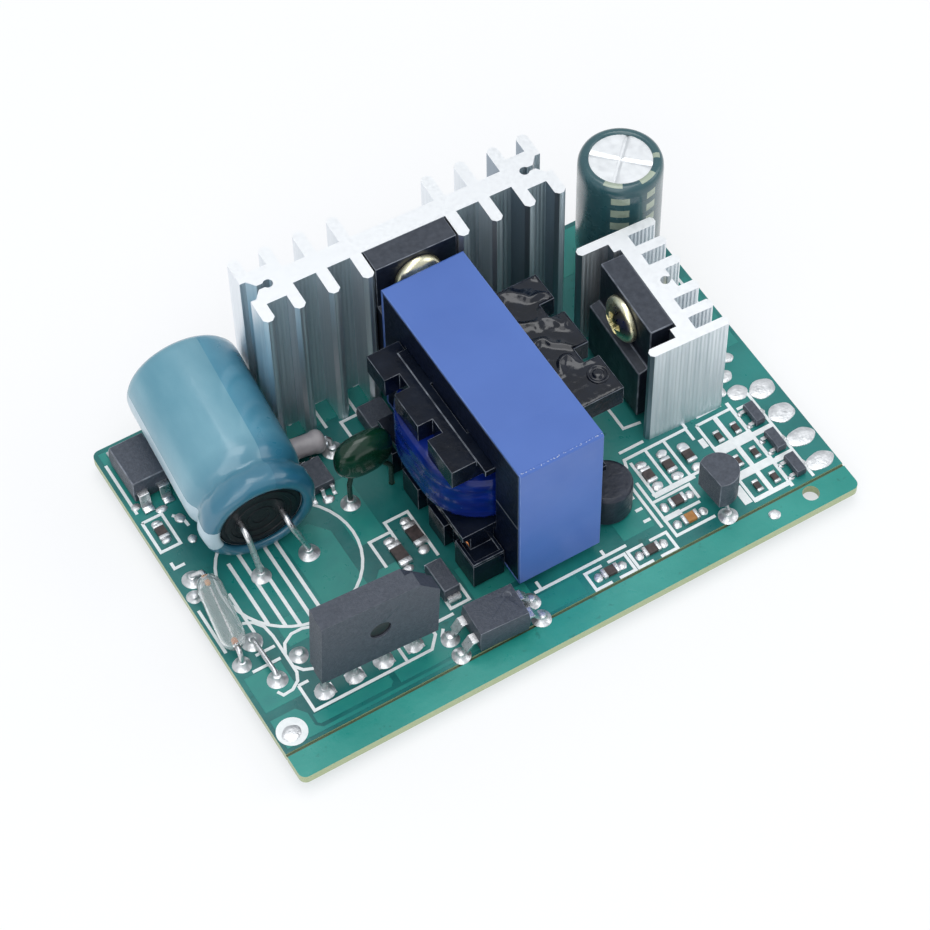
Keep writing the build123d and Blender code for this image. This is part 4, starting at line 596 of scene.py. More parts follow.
# Large capacitor. A drawn aluminium can closed by a rubber bung that its crimp holds, in a shrunk film
# sleeve with wrinkles at the crimp. One side of the sleeve, beside its printed stripe, is painted paler and
# greyer as a painted sheen. It lies back over the board, on leads bent a quarter turn.
CAN_MOUTH = (10.62, 27.0, 7.32)
CAN_TURN, CAN_RISE, CAN_ROLL = -3.6, 2.8, 13.0
CAN_RADIUS, CAN_LENGTH, CRIMP_LINE = 6.97, 21.9, 3.7
BUNG_RADIUS, LEAD_PITCH = 5.02, 5.2
LEAD_RADIUS, LEAD_BEND, LEAD_FOOT = 0.36, 1.5, -1.15
LEAD_START, LEAD_KNEE, LEAD_ANKLE = 2.4, -1.5, 1.2
STRIPE_START, STRIPE_END, SHEEN_END = 0.44, 0.53, 0.80
FILM_THICKNESS, SLEEVE_SIDES = 0.1, 120
TEAL, TEAL_AT_MOUTH = ((0.038, 0.200, 0.305), (0.080, 0.285, 0.400)), (0.022, 0.135, 0.215)
SHEEN_TONES, SHEEN_AT_MOUTH = ((0.095, 0.280, 0.370), (0.185, 0.385, 0.470)), (0.035, 0.165, 0.250)
MOUTH_V, CLEAR_V = 3.5, 9.0


def frame_at(spot, across, over, out):
    """The frame at a spot in metres, with its own x, y and z directions."""
    return Matrix.Translation(spot) @ Matrix((across, over, out)).transposed().to_4x4()


def lying_can(mouth, turn, rise):
    """The frame of a can that lies on its side: z from its bung to its far end."""
    turn, rise = math.radians(turn), math.radians(rise)
    along = Vector((-math.sin(turn) * math.cos(rise), math.cos(turn) * math.cos(rise), math.sin(rise)))
    across = Vector((math.cos(turn), math.sin(turn), 0))
    return frame_at(place(*mouth), across, along.cross(across), along)


def join_rings(mesh, rings):
    """Faces between rings that have the same number of points."""
    for first, second in zip(rings, rings[1:]):
        for k in range(len(first)):
            after = (k + 1) % len(first)
            mesh.faces.new((first[k], first[after], second[after], second[k]))


def wire(mesh, points, radius, bend, sides=14, steps=6):
    """Round wire through the points in metres, its corners turned at the bend radius, its ends cut flat."""
    path = [points[0]]
    for before, corner, after in zip(points, points[1:], points[2:]):
        way_in, way_out = (corner - before).normalized(), (after - corner).normalized()
        half = way_in.angle(way_out) / 2
        cut = min(bend * math.tan(half), (corner - before).length * 0.45, (after - corner).length * 0.45)
        start, end = corner - way_in * cut, corner + way_out * cut
        for i in range(steps + 1):
            share = i / steps
            path.append(start.lerp(corner, share).lerp(corner.lerp(end, share), share))
    path.append(points[-1])
    side = (path[1] - path[0]).orthogonal().normalized()
    rings = []
    for i, spot in enumerate(path):
        along = (path[min(i + 1, len(path) - 1)] - path[max(i - 1, 0)]).normalized()
        side = (side - along * side.dot(along)).normalized()
        other = along.cross(side)
        rings.append([
            mesh.verts.new(spot + radius * (side * math.cos(angle) + other * math.sin(angle)))
            for angle in (math.tau * k / sides for k in range(sides))
        ])
    join_rings(mesh, rings)
    mesh.faces.new(rings[0][::-1])
    mesh.faces.new(rings[-1])


def teal_film(name, tones, at_mouth, scale, stretch, smooth, dull, relief, coat):
    """Shrunk film in two drifting tones, that deepen toward the can's mouth."""
    film = Finish(name)
    toward_mouth = film.span(film.axes()[1], MOUTH_V * MM, CLEAR_V * MM, 1.0, 0.0)
    tone = film.blend(film.cloud(scale, stretch=stretch), *tones)
    film.colour(film.blend(toward_mouth, tone, at_mouth))
    film.rough(film.cloud(300, smooth, dull))
    film.bump(film.noise(520, 4.0), relief)
    film.set(Coat_Weight=0.8, Coat_Roughness=coat)
    return film


def open_sleeve(name, mesh, finishes, slot, node):
    """A shrunk sleeve, open at both ends, with the film's thickness."""
    ends = [face for face in mesh.faces if len(face.verts) > 4]
    bmesh.ops.delete(mesh, geom=ends, context="FACES_ONLY")
    piece = keep(name, mesh, finishes, slot, node, sharp=80)
    skin = piece.modifiers.new("film_thickness", "SOLIDIFY")
    skin.thickness, skin.offset = FILM_THICKNESS * MM, -1


can_frame = lying_can(CAN_MOUTH, CAN_TURN, CAN_RISE)
blue_film = teal_film("blue_film", TEAL, TEAL_AT_MOUTH, 140, (1, 1, 1), 0.26, 0.38, 0.00007, 0.14)
# The paler, greyer film is a painted sheen on one side of the sleeve, not a film of its own.
hazy_film = teal_film("hazy_film", SHEEN_TONES, SHEEN_AT_MOUTH, 180, (1, 0.4, 1), 0.28, 0.40, 0.00006, 0.15)
pale_film = mottled("printed_stripe", (0.42, 0.56, 0.63), (0.50, 0.63, 0.70), 0.35, 300, 0.00001)
pale_film.set(Coat_Weight=0.5, Coat_Roughness=0.28)


def wrinkled(angle, ring):
    """Folds of the film, deepest in the crimp and at its rolled end."""
    depth = (0.0, 0.0, 0.006, 0.010, 0.010, 0.009, 0.012, 0.018, 0.020, 0.018, 0.013, 0.008, 0.005, 0.003)
    share = depth[ring] if ring < len(depth) else 0.0012
    return 1 + share * (math.sin(9 * angle + 0.8 * ring) * 0.6 + math.sin(17 * angle - 1.3 * ring) * 0.4)


sleeve_profile = [
    (BUNG_RADIUS + 0.03, 0.62), (BUNG_RADIUS + 0.14, 0.12), (BUNG_RADIUS + 0.55, 0.0), (5.98, 0.04),
    (6.50, 0.30), (6.83, 0.78), (6.92, 1.45), (6.90, 2.25), (6.66, 2.90), (6.30, 3.40), (6.20, CRIMP_LINE),
    (6.30, 4.00), (6.66, 4.50), (6.90, 5.10), (6.96, 5.90), (CAN_RADIUS, 8.0), (6.96, 12.0),
    (CAN_RADIUS, 16.0), (CAN_RADIUS, 20.6), (6.90, 21.30), (6.62, 21.72), (6.20, 21.86), (5.70, 21.88),
    (5.62, 21.70), (5.62, 21.60),
]
sleeve = bmesh.new()
# The faces just past the printed stripe get the painted sheen.
for k, face in spun(sleeve, sleeve_profile, can_frame, SLEEVE_SIDES, wrinkled):
    share = (k + 0.5) / SLEEVE_SIDES
    if STRIPE_START <= share <= STRIPE_END:
        face.material_index = 1
    elif STRIPE_END < share < SHEEN_END:
        face.material_index = 2
open_sleeve(
    "large_can_sleeve", sleeve, [blue_film, pale_film, hazy_film], "blue_sleeve", "input_capacitor_sleeve",
)

drawn = mottled("drawn_aluminium", (0.90, 0.91, 0.92), (0.96, 0.97, 0.98), 0.42, 600, 0.00001, 0.9)
CAN_END_RADIUS, CAN_MOUTH_RADIUS, CAN_SIDES, END_RINGS = 6.2, 5.05, 120, 40
VENT_DEPTH, VENT_SIDE, VENT_REACH, LAST_BARREL_RING = 0.16, 0.3, 4.6, 11


def vent_scores(x, y, ring):
    """The cross pressed into a can's end, where it gives way under pressure."""
    near = min(abs(x + y), abs(x - y)) / math.sqrt(2)
    on_end = ring > LAST_BARREL_RING and math.hypot(x, y) < VENT_REACH
    return -VENT_DEPTH * max(0.0, 1 - near / VENT_SIDE) if on_end else 0.0


def can_profile(radius, length, crimp, end_radius, mouth_radius):
    """A can from inside its rolled mouth, by its crimp, to the middle of its closed end."""
    barrel = [
        (mouth_radius, 3.1), (mouth_radius, 0.75), (radius - 1.0, 0.5), (radius - 0.3, 0.95),
        (radius - 0.22, crimp - 1.6), (radius - 0.84, crimp - 0.4),
        (radius - 0.90, crimp), (radius - 0.84, crimp + 0.4), (radius - 0.30, crimp + 1.4),
        (radius - 0.15, crimp + 2.4), (radius - 0.15, length - 1.3), (radius - 0.40, length - 0.5),
    ]
    return barrel + [(end_radius * (1 - i / END_RINGS), length - 0.24) for i in range(END_RINGS + 1)]


large_can = bmesh.new()
large_can_profile = can_profile(CAN_RADIUS, CAN_LENGTH, CRIMP_LINE, CAN_END_RADIUS, CAN_MOUTH_RADIUS)
spun(large_can, large_can_profile, can_frame, CAN_SIDES, lift=vent_scores)
keep("large_can", large_can, [drawn], "can_aluminium", "input_capacitor_can", sharp=50)

rubber = mottled("bung_rubber", (0.002, 0.003, 0.005), (0.006, 0.008, 0.012), 0.40, 1800, 0.00002)
rubber.set(Specular_IOR_Level=0.25)
bung_face = [
    (BUNG_RADIUS, 2.6), (BUNG_RADIUS, 0.72), (4.86, 0.58), (4.4, 0.52), (4.3, 0.42), (3.75, 0.42),
    (3.65, 0.54), (3.1, 0.54), (3.0, 0.45), (2.45, 0.45), (2.35, 0.56), (1.75, 0.56), (1.65, 0.47),
    (1.1, 0.47), (1.0, 0.56), (0, 0.58),
]
bung = bmesh.new()
spun(bung, bung_face, can_frame, 64)
keep("large_can_bung", bung, [rubber], "rubber_bung", "input_capacitor_bung", sharp=25)

tin = mottled("tinned_wire", (0.62, 0.62, 0.63), (0.82, 0.82, 0.83), 0.30, 1500, 0.000006, 1.0)
roll = can_frame @ Matrix.Rotation(math.radians(CAN_ROLL), 4, "Z")
can_leads = bmesh.new()
for side, (u, v) in zip((-1, 1), CAN_HOLES):
    wire(can_leads, [
        roll @ (Vector((side * LEAD_PITCH / 2, 0, LEAD_START)) * MM),
        roll @ (Vector((side * LEAD_PITCH / 2, 0, LEAD_KNEE)) * MM),
        place(u, v, LEAD_ANKLE),
        place(u, v, LEAD_FOOT),
    ], LEAD_RADIUS * MM, LEAD_BEND * MM)
keep("large_can_leads", can_leads, [tin], "tinned_wire", "input_capacitor_leads", sharp=60)

# Small capacitor. Built like the large one, it stands at the right rear corner in dark green film that
# carries two rows of pale gold bars down one side and a broken line of them round its top edge.
SMALL_PLACE, SMALL_RADIUS, SMALL_LENGTH, SMALL_CRIMP = (66.3, 41.3), 5.0, 20.1, 3.5
SMALL_END_RADIUS, SMALL_MOUTH_RADIUS, SMALL_SIDES = 4.3, 3.64, 72
BAR_RINGS, BAR_SHARES = (13, 24), ((0.62, 0.70), (0.76, 0.80))
RIM_RING, RIM_SHARES = 27, (0.5, 0.95)
dark_film = mottled("dark_film", (0.022, 0.078, 0.095), (0.036, 0.105, 0.118), 0.28, 300, 0.00002)
dark_film.set(Coat_Weight=0.5, Coat_Roughness=0.15)
gold_film = mottled("gold_bars", (0.30, 0.36, 0.28), (0.40, 0.46, 0.36), 0.3, 500, 0.00001)
gold_film.set(Coat_Weight=0.5, Coat_Roughness=0.15)
barrel_heights = (5.6, 6.6, 7.8, 8.8, 10.0, 11.0, 12.2, 13.2, 14.4, 15.4, 16.6, 17.6, 18.7)
small_profile = [
    (3.66, 0.6), (3.7, 0.1), (4.3, 0.0), (4.75, 0.22), (4.93, 0.75), (4.95, 1.9), (4.72, 2.6), (4.40, 3.1),
    (4.33, SMALL_CRIMP), (4.45, 3.9), (4.78, 4.4), (4.97, 5.0),
    *((SMALL_RADIUS, height) for height in barrel_heights),
    (4.96, 19.3), (4.80, 19.75), (4.5, 20.02), (4.15, SMALL_LENGTH), (3.78, 20.06), (3.70, 19.9),
    (3.70, 19.82),
]
small_sleeve = bmesh.new()
for number, (k, face) in enumerate(spun(small_sleeve, small_profile, upright(*SMALL_PLACE), SMALL_SIDES)):
    ring, share = number // SMALL_SIDES, (k + 0.5) / SMALL_SIDES
    in_bar = any(low <= share <= high for low, high in BAR_SHARES)
    if BAR_RINGS[0] <= ring <= BAR_RINGS[1] and ring % 2 and in_bar:
        face.material_index = 1
    on_rim = ring >= RIM_RING and RIM_SHARES[0] < share < RIM_SHARES[1]
    if on_rim and (k // 6) % 2:
        face.material_index = 1
open_sleeve(
    "small_can_sleeve", small_sleeve, [dark_film, gold_film], "dark_sleeve", "output_capacitor_sleeve",
)
small_can = bmesh.new()
small_can_profile = can_profile(SMALL_RADIUS, SMALL_LENGTH, SMALL_CRIMP, SMALL_END_RADIUS, SMALL_MOUTH_RADIUS)
spun(small_can, small_can_profile, upright(*SMALL_PLACE), 96, lift=vent_scores)
keep("small_can", small_can, [drawn], "can_aluminium", "output_capacitor_can", sharp=50)
paint(rubber, "output_capacitor_bung")
paint(tin, "output_capacitor_leads")

# Bridge rectifier. Black epoxy moulded round four leads in two halves, with one corner cut off to mark
# its plus side and a shallow round dimple. It stands clear of the board on its leads.
BRIDGE_CORNER, BRIDGE_CLEAR = (6.55, 6.8), 4.6
BRIDGE_TURN, BRIDGE_LEAN = math.radians(-1.3), math.radians(-2.8)
BRIDGE_LEAD_RADIUS, BRIDGE_LEAD_TOP = 0.4, 6.0
DIMPLE_PLACE, DIMPLE = (7.2, 5.3, -0.31), [(1.29, 0.0), (1.29, 0.07), (1.05, 0.10), (0, 0.10)]
SHARP_EDGE = math.radians(30)


def rounded(node, width, finishes, slot):
    """A copy of a CAD node, welded, with its edges rounded by a bevel of the width in millimetres.

    A second finish, where given, goes on the rounded edges as a painted highlight along them."""
    copy = bmesh.new()
    copy.from_mesh(nodes[node].data)
    copy.transform(nodes[node].matrix_world)
    bmesh.ops.remove_doubles(copy, verts=copy.verts, dist=0.001 * MM)
    bmesh.ops.dissolve_limit(copy, angle_limit=math.radians(1), verts=copy.verts, edges=copy.edges)
    corners = [edge for edge in copy.edges if len(edge.link_faces) == 2]
    sharp = [edge for edge in corners if edge.calc_face_angle() > SHARP_EDGE]
    edges = bmesh.ops.bevel(
        copy, geom=sharp, offset=width * MM, offset_type="OFFSET", segments=2, profile=0.5,
        affect="EDGES", clamp_overlap=True,
    )
    for face in edges["faces"]:
        face.material_index = len(finishes) - 1
    bmesh.ops.triangulate(copy, faces=[face for face in copy.faces if len(face.verts) > 4])
    piece = keep("rounded_" + node, copy, finishes, slot, node, sharp=180)
    even = piece.modifiers.new("flat_faces", "WEIGHTED_NORMAL")
    even.weight, even.mode = 100, "FACE_AREA"


resin = mottled("black_resin", (0.034, 0.043, 0.062), (0.062, 0.073, 0.098), 0.44, 2600, 0.00006)
resin.set(Specular_IOR_Level=0.6)
# A paler finish for the rounded edges of moulded parts: a painted highlight.
moulded_edge_highlight = mottled("rubbed_resin", (0.060, 0.070, 0.090), (0.230, 0.250, 0.290), 0.36, 900, 0.00002)
rounded("bridge_rectifier_body", 0.13, [resin, moulded_edge_highlight], "black_resin")
bridge_across = Vector((
    math.cos(BRIDGE_TURN) * math.cos(BRIDGE_LEAN),
    math.sin(BRIDGE_TURN) * math.cos(BRIDGE_LEAN),
    math.sin(BRIDGE_LEAN),
))
bridge_out = Vector((math.sin(BRIDGE_TURN), -math.cos(BRIDGE_TURN), 0))
bridge_spot = place(*BRIDGE_CORNER, BRIDGE_CLEAR)
bridge_frame = frame_at(bridge_spot, bridge_across, bridge_out.cross(bridge_across), bridge_out)
# The dimple is painted near black, as painted shade in its hollow.
dimple_shade_finish = mottled("ejector_mark", (0.004, 0.005, 0.008), (0.009, 0.010, 0.014), 0.35, 1500, 0.00003)
dimple = bmesh.new()
spun(dimple, DIMPLE, bridge_frame @ Matrix.Translation(Vector(DIMPLE_PLACE) * MM), 48)
keep("bridge_dimple", dimple, [dimple_shade_finish], "black_resin")
bridge_leads = bmesh.new()
for u, v in BRIDGE_HOLES:
    ends = [place(u, v, LEAD_FOOT), place(u, v, BRIDGE_LEAD_TOP)]
    wire(bridge_leads, ends, BRIDGE_LEAD_RADIUS * MM, LEAD_BEND * MM)
keep("bridge_leads", bridge_leads, [tin], "tinned_wire", "bridge_rectifier_leads", sharp=60)

# Heatsinks. Aluminium extrusions sawn off square, with fine die lines up their faces and hooked slots at
# the ends that grip round pins soldered to the board. The walls toward the front carry fine ribs, and two
# walls that mirror dark parts beside them are toned darker, a painted reflection. The sawn tops are
# painted paler, partly their own cut finish and partly a painted glint of the lamp above them.
METAL_DEEP, METAL_PALE, SAWN_TOP_GLINT = (0.80, 0.84, 0.88), (0.92, 0.95, 0.98), (0.97, 0.98, 0.99)
FAR_WALL_TONE, FAR_WALL_Y = (0.34, 0.48, 0.54), 12
NEAR_WALL_TONE, NEAR_WALL_X = (0.20, 0.27, 0.34), 15
RIB_PITCH = 0.5
extruded = Finish("extruded_aluminium")
sink_x, sink_y = extruded.axes()[:2]
side_x, side_y, side_z = extruded.facing()[:3]
die_lines = extruded.noise(2400, 3.0, (1, 1, 0.015))
ribs = extruded.math("SINE", extruded.times(sink_x, math.tau / (RIB_PITCH * MM)))
front_wall = extruded.below(side_y, -0.9)
far_wall = extruded.times(extruded.below(side_y, -0.7), extruded.above(sink_y, FAR_WALL_Y * MM))
near_wall = extruded.times(extruded.below(side_x, -0.7), extruded.above(sink_x, NEAR_WALL_X * MM))
sawn = extruded.above(side_z, 0.9)
metal_tone = extruded.blend(extruded.span(die_lines, 0.3, 0.7), METAL_DEEP, METAL_PALE)
metal_tone = extruded.blend(extruded.times(far_wall, 0.6), metal_tone, FAR_WALL_TONE)
metal_tone = extruded.blend(extruded.times(near_wall, 0.8), metal_tone, NEAR_WALL_TONE)
# Upward sawn faces are painted near white: partly their cut finish, partly a painted glint of the lamp.
extruded.colour(extruded.blend(sawn, metal_tone, SAWN_TOP_GLINT))
drawn_gloss = extruded.span(die_lines, 0.3, 0.7, 0.34, 0.46)
extruded.rough(extruded.math("ADD", drawn_gloss, extruded.times(front_wall, 0.14)))
relief = extruded.math("ADD", die_lines, extruded.times(extruded.times(ribs, front_wall), 0.6))
extruded.bump(extruded.times(relief, extruded.math("SUBTRACT", 1.0, sawn)), 0.00004)
extruded.set(Metallic=0.95)
paint(extruded, "main_heatsink", "small_heatsink")
paint(tin, "main_heatsink_pins", "small_heatsink_pin")

# Power devices. A transistor and a rectifier moulded all round in black epoxy, each held flat against
# its heatsink by a yellow zinc screw through its tab.
# Their resin is painted lighter on faces that look up and darker on the walls, as painted light and shade.
SHADED_RESIN_WALL = ((0.006, 0.009, 0.017), (0.014, 0.018, 0.030))
LIT_RESIN_TOP = ((0.030, 0.036, 0.050), (0.050, 0.058, 0.076))
device_resin = Finish("device_resin")
device_cloud = device_resin.cloud(1600, detail=4.0)
upward = device_resin.span(device_resin.facing()[2], 0.4, 0.8)
shaded_wall_tone = device_resin.blend(device_cloud, *SHADED_RESIN_WALL)
lit_top_tone = device_resin.blend(device_cloud, *LIT_RESIN_TOP)
device_resin.colour(device_resin.blend(upward, shaded_wall_tone, lit_top_tone))
device_resin.rough(device_resin.cloud(900, 0.30, 0.46, stretch=(1, 1, 0.3)))
device_resin.bump(device_resin.noise(2200, 4.0), 0.00004)
device_resin.set(Specular_IOR_Level=0.4)
for node in ("transistor_body", "rectifier_body"):
    rounded(node, 0.15, [device_resin, moulded_edge_highlight], "black_resin")
paint(tin, "transistor_leads", "rectifier_leads")
yellow_zinc = mottled("yellow_zinc", (0.84, 0.76, 0.46), (0.94, 0.91, 0.70), 0.30, 900, 0.00001, 1.0)
UPWARD = Vector((0, 0, 1))
SCREWS = [
    ("transistor_pan_screw", "transistor_screw", (37.85, 39.04, 20.3), (-0.0342, -0.9994), 5.96),
    ("rectifier_pan_screw", "rectifier_screw", (57.595, 26.529, 12.45), (-0.9990, 0.0454), 5.15),
]
HEAD_RADIUS, HEAD_RISE, HEAD_FALL, SHANK_RADIUS = 2.9, 1.75, 1.05, 1.5
HEAD_SIDES, HEAD_RINGS, LAST_RIM_RING = 112, 26, 8
RECESS_HALF_WIDTH, RECESS_HALF_LENGTH, RECESS_DEPTH = 0.40, 1.40, 0.75
RECESS_TURN, RECESS_STRETCH = 0.35, 1.06


def cross_recess(x, y, ring):
    """The cross that the driver turns, its walls sloping to a point in the middle."""
    x, y = (x + RECESS_TURN * y) / RECESS_STRETCH, (y - RECESS_TURN * x) / RECESS_STRETCH
    narrow, wide = sorted((abs(x), abs(y)))
    inside = narrow < RECESS_HALF_WIDTH and wide < RECESS_HALF_LENGTH
    slope = 1 - 0.45 * math.hypot(x, y) / RECESS_HALF_LENGTH
    return -RECESS_DEPTH * slope if inside and ring > LAST_RIM_RING else 0.0


for name, node, (u, v, h), (out_x, out_y), shank in SCREWS:
    out = Vector((out_x, out_y, 0))
    head_frame = frame_at(place(u, v, h), UPWARD.cross(out), UPWARD, out)
    head = [
        (0, -shank), (SHANK_RADIUS * 0.9, -shank), (SHANK_RADIUS, -shank + 0.2), (SHANK_RADIUS, 0.0),
        (HEAD_RADIUS - 0.1, 0.0), (HEAD_RADIUS, 0.12), (HEAD_RADIUS, 0.45), (HEAD_RADIUS - 0.12, 0.72),
    ]
    for i in range(HEAD_RINGS + 1):
        radius = (HEAD_RADIUS - 0.3) * (1 - i / HEAD_RINGS)
        head.append((radius, HEAD_RISE - HEAD_FALL * (radius / HEAD_RADIUS) ** 2.2))
    screw = bmesh.new()
    spun(screw, head, head_frame, HEAD_SIDES, lift=cross_recess)
    keep(name, screw, [yellow_zinc], "zinc_screw", node, sharp=38)

# Transformer. Two E-shaped ferrite halves clamp a glossy black bobbin whose coil is wrapped in dark blue
# tape. Light blue polyester tape goes round the core upright and ends on top, near its front edge.
ferrite = mottled("ferrite", (0.001, 0.003, 0.011), (0.003, 0.007, 0.024), 0.36, 1500, 0.00005)
ferrite.set(Specular_IOR_Level=0.18)
# The paler ferrite finish goes on the core's rounded edges as a painted highlight.
ferrite_edge = mottled("ferrite_edge", (0.012, 0.017, 0.030), (0.075, 0.088, 0.110), 0.40, 700, 0.00004)
for node in ("transformer_core_top", "transformer_core_bottom"):
    rounded(node, 0.18, [ferrite, ferrite_edge], "ferrite")
TAPE_DEEP, TAPE_PALE = (0.062, 0.136, 0.430), (0.074, 0.158, 0.480)
blue_tape = Finish("blue_tape")
blue_tape.colour(blue_tape.blend(blue_tape.cloud(90), TAPE_DEEP, TAPE_PALE))
blue_tape.rough(blue_tape.cloud(240, 0.34, 0.48))
blue_tape.bump(blue_tape.noise(260, 3.0), 0.00003)
# The paler tape finish goes on the tape's rounded edges as a painted highlight.
tape_fold = mottled("tape_fold", (0.085, 0.165, 0.460), (0.210, 0.300, 0.600), 0.36, 500, 0.00003)
rounded("transformer_tape", 0.13, [blue_tape, tape_fold], "blue_tape")
glossy = mottled("bobbin_resin", (0.002, 0.004, 0.010), (0.006, 0.010, 0.021), 0.20, 420, 0.00004)
glossy.set(Specular_IOR_Level=0.24)
# The paler bobbin finish goes on its rounded edges and the rim's as a painted highlight.
glossy_edge_highlight = mottled("bobbin_edge", (0.018, 0.023, 0.035), (0.200, 0.220, 0.255), 0.22, 800, 0.00003)
rounded("transformer_bobbin", 0.12, [glossy, glossy_edge_highlight], "bobbin_resin")
paint(tin, "transformer_pins")
RIM_CORNERS = [(28.45, 11.35), (32.0, 11.35), (32.0, 14.9), (28.45, 14.9)]
RIM_WIDTH, RIM_LOW, RIM_HIGH = 0.45, 4.25, 4.65
rim = bmesh.new()
ribbon(rim, RIM_CORNERS, RIM_WIDTH, RIM_LOW, RIM_HIGH, True)
rim_piece = keep("rail_block_rim", rim, [glossy, glossy_edge_highlight], "bobbin_resin")
# The rim's rounded edges carry the bobbin's painted edge highlight.
rounding = rim_piece.modifiers.new("rounded_edges", "BEVEL")
rounding.width, rounding.segments, rounding.material = 0.08 * MM, 2, 1

CORE_MIDDLE = (37.6, 22.76)
TAPE_LEFT, TAPE_WIDTH = CORE_MIDDLE[0] - 5.25, 10.5
TAPE_FRONT, TAPE_TOP = CORE_MIDDLE[1] - 14.7, 22.8
LAP_STEPS, THREADS = 36, 26
tape_end = bmesh.new()
fray = random.Random(5)
lap_rows = []
for i in range(LAP_STEPS + 1):
    u = TAPE_LEFT + TAPE_WIDTH * i / LAP_STEPS
    ragged = 0.03 * fray.uniform(-1, 1)
    lap_rows.append([
        tape_end.verts.new(place(u, TAPE_FRONT + 0.32 + ragged, TAPE_TOP)),
        tape_end.verts.new(place(u, TAPE_FRONT + 0.38 + ragged, TAPE_TOP + 0.07)),
        tape_end.verts.new(place(u, TAPE_FRONT + 3.4, TAPE_TOP + 0.05)),
        tape_end.verts.new(place(u, TAPE_FRONT + 6.4, TAPE_TOP - 0.01)),
    ])
for first, second in zip(lap_rows, lap_rows[1:]):
    for k in range(3):
        tape_end.faces.new((first[k], second[k], second[k + 1], first[k + 1]))
    tape_end.faces.new((first[3], second[3], second[0], first[0]))
tape_end.faces.new(lap_rows[0])
tape_end.faces.new(lap_rows[-1][::-1])
keep("tape_end", tape_end, [blue_tape], "blue_tape", sharp=25)

threads = bmesh.new()
for i in range(THREADS):
    u = TAPE_LEFT + TAPE_WIDTH * (i + fray.uniform(0.1, 0.9)) / THREADS
    v = TAPE_FRONT + 0.3 + fray.uniform(-0.1, 0.08)
    size = fray.uniform(0.03, 0.07)
    turn = Matrix.Rotation(fray.uniform(0, 3), 4, "Z")
    thread_frame = upright(u, v, TAPE_TOP) @ turn @ Matrix.Diagonal((2.2, 0.7, 1, 1))
    spun(threads, [(size, 0.0), (size * 0.8, size * 0.7), (0, size)], thread_frame, 8)
adhesive = mottled("dried_adhesive", (0.35, 0.42, 0.62), (0.55, 0.60, 0.72), 0.5, 2000, 0.00001)
keep("tape_adhesive", threads, [adhesive], "blue_tape")

WINDING_DEEP, WINDING_PALE = (0.001, 0.009, 0.100), (0.003, 0.020, 0.215)
winding = Finish("winding_tape")
wave = winding.noise(260, 4.0, (1, 1, 2.4), 0.8)
winding.colour(winding.blend(winding.span(wave, 0.3, 0.7), WINDING_DEEP, WINDING_PALE))
winding.rough(winding.cloud(400, 0.14, 0.30))
winding.bump(wave, 0.00004)
winding.set(Coat_Weight=0.10, Coat_Roughness=0.10, Specular_IOR_Level=0.28)
COIL_HALF, COIL_CORNER = (10.2, 9.15), 7.0
COIL_LOW, COIL_HIGH = 7.27, 14.86
COIL_TUBE = (6.41, 4.91)
CORNER_POINTS = 18
coil = bmesh.new()
wrap = random.Random(3)


def rounded_square(half_u, half_v, corner):
    """Points round a rectangle with round corners, the same number for each size."""
    spots = []
    for centre_u, centre_v, start in (
        (half_u - corner, half_v - corner, 0), (-half_u + corner, half_v - corner, 90),
        (-half_u + corner, -half_v + corner, 180), (half_u - corner, -half_v + corner, 270),
    ):
        for i in range(CORNER_POINTS):
            angle = math.radians(start + 90 * i / (CORNER_POINTS - 1))
            spots.append((centre_u + corner * math.cos(angle), centre_v + corner * math.sin(angle)))
    return spots


levels = [
    (COIL_LOW + 0.02, -1.1), (COIL_LOW + 0.05, -0.35), (COIL_LOW + 0.4, -0.08), (COIL_LOW + 0.9, -0.02),
    (COIL_LOW + 2.2, -0.01), (COIL_LOW + 2.6, -0.08), (COIL_LOW + 3.0, -0.01), (COIL_LOW + 4.6, -0.02),
    (COIL_LOW + 5.0, -0.10), (COIL_LOW + 5.4, -0.01), (COIL_HIGH - 0.7, -0.03), (COIL_HIGH - 0.2, -0.2),
    (COIL_HIGH, -0.9),
]
coil_rings = []
for index, (h, swell) in enumerate(levels):
    ring = []
    for i, (a, b) in enumerate(rounded_square(COIL_HALF[0] + swell, COIL_HALF[1] + swell, COIL_CORNER)):
        crease = 0.09 * max(0.0, 1 - index / 3) * math.sin(i * 1.9) * wrap.uniform(0.4, 1.0)
        pull = 1 - abs(crease) * 0.2
        u, v = CORE_MIDDLE[0] + a * pull, CORE_MIDDLE[1] + b * pull
        ring.append(coil.verts.new(place(u, v, h + max(crease, 0))))
    coil_rings.append(ring)
for h in (COIL_HIGH, COIL_LOW + 0.02):
    coil_rings.append([
        coil.verts.new(place(CORE_MIDDLE[0] + a, CORE_MIDDLE[1] + b, h))
        for a, b in rounded_square(*COIL_TUBE, 0.1)
    ])
join_rings(coil, coil_rings + coil_rings[:1])
keep("coil_wrap", coil, [winding], "winding_tape", "transformer_coil", sharp=50)

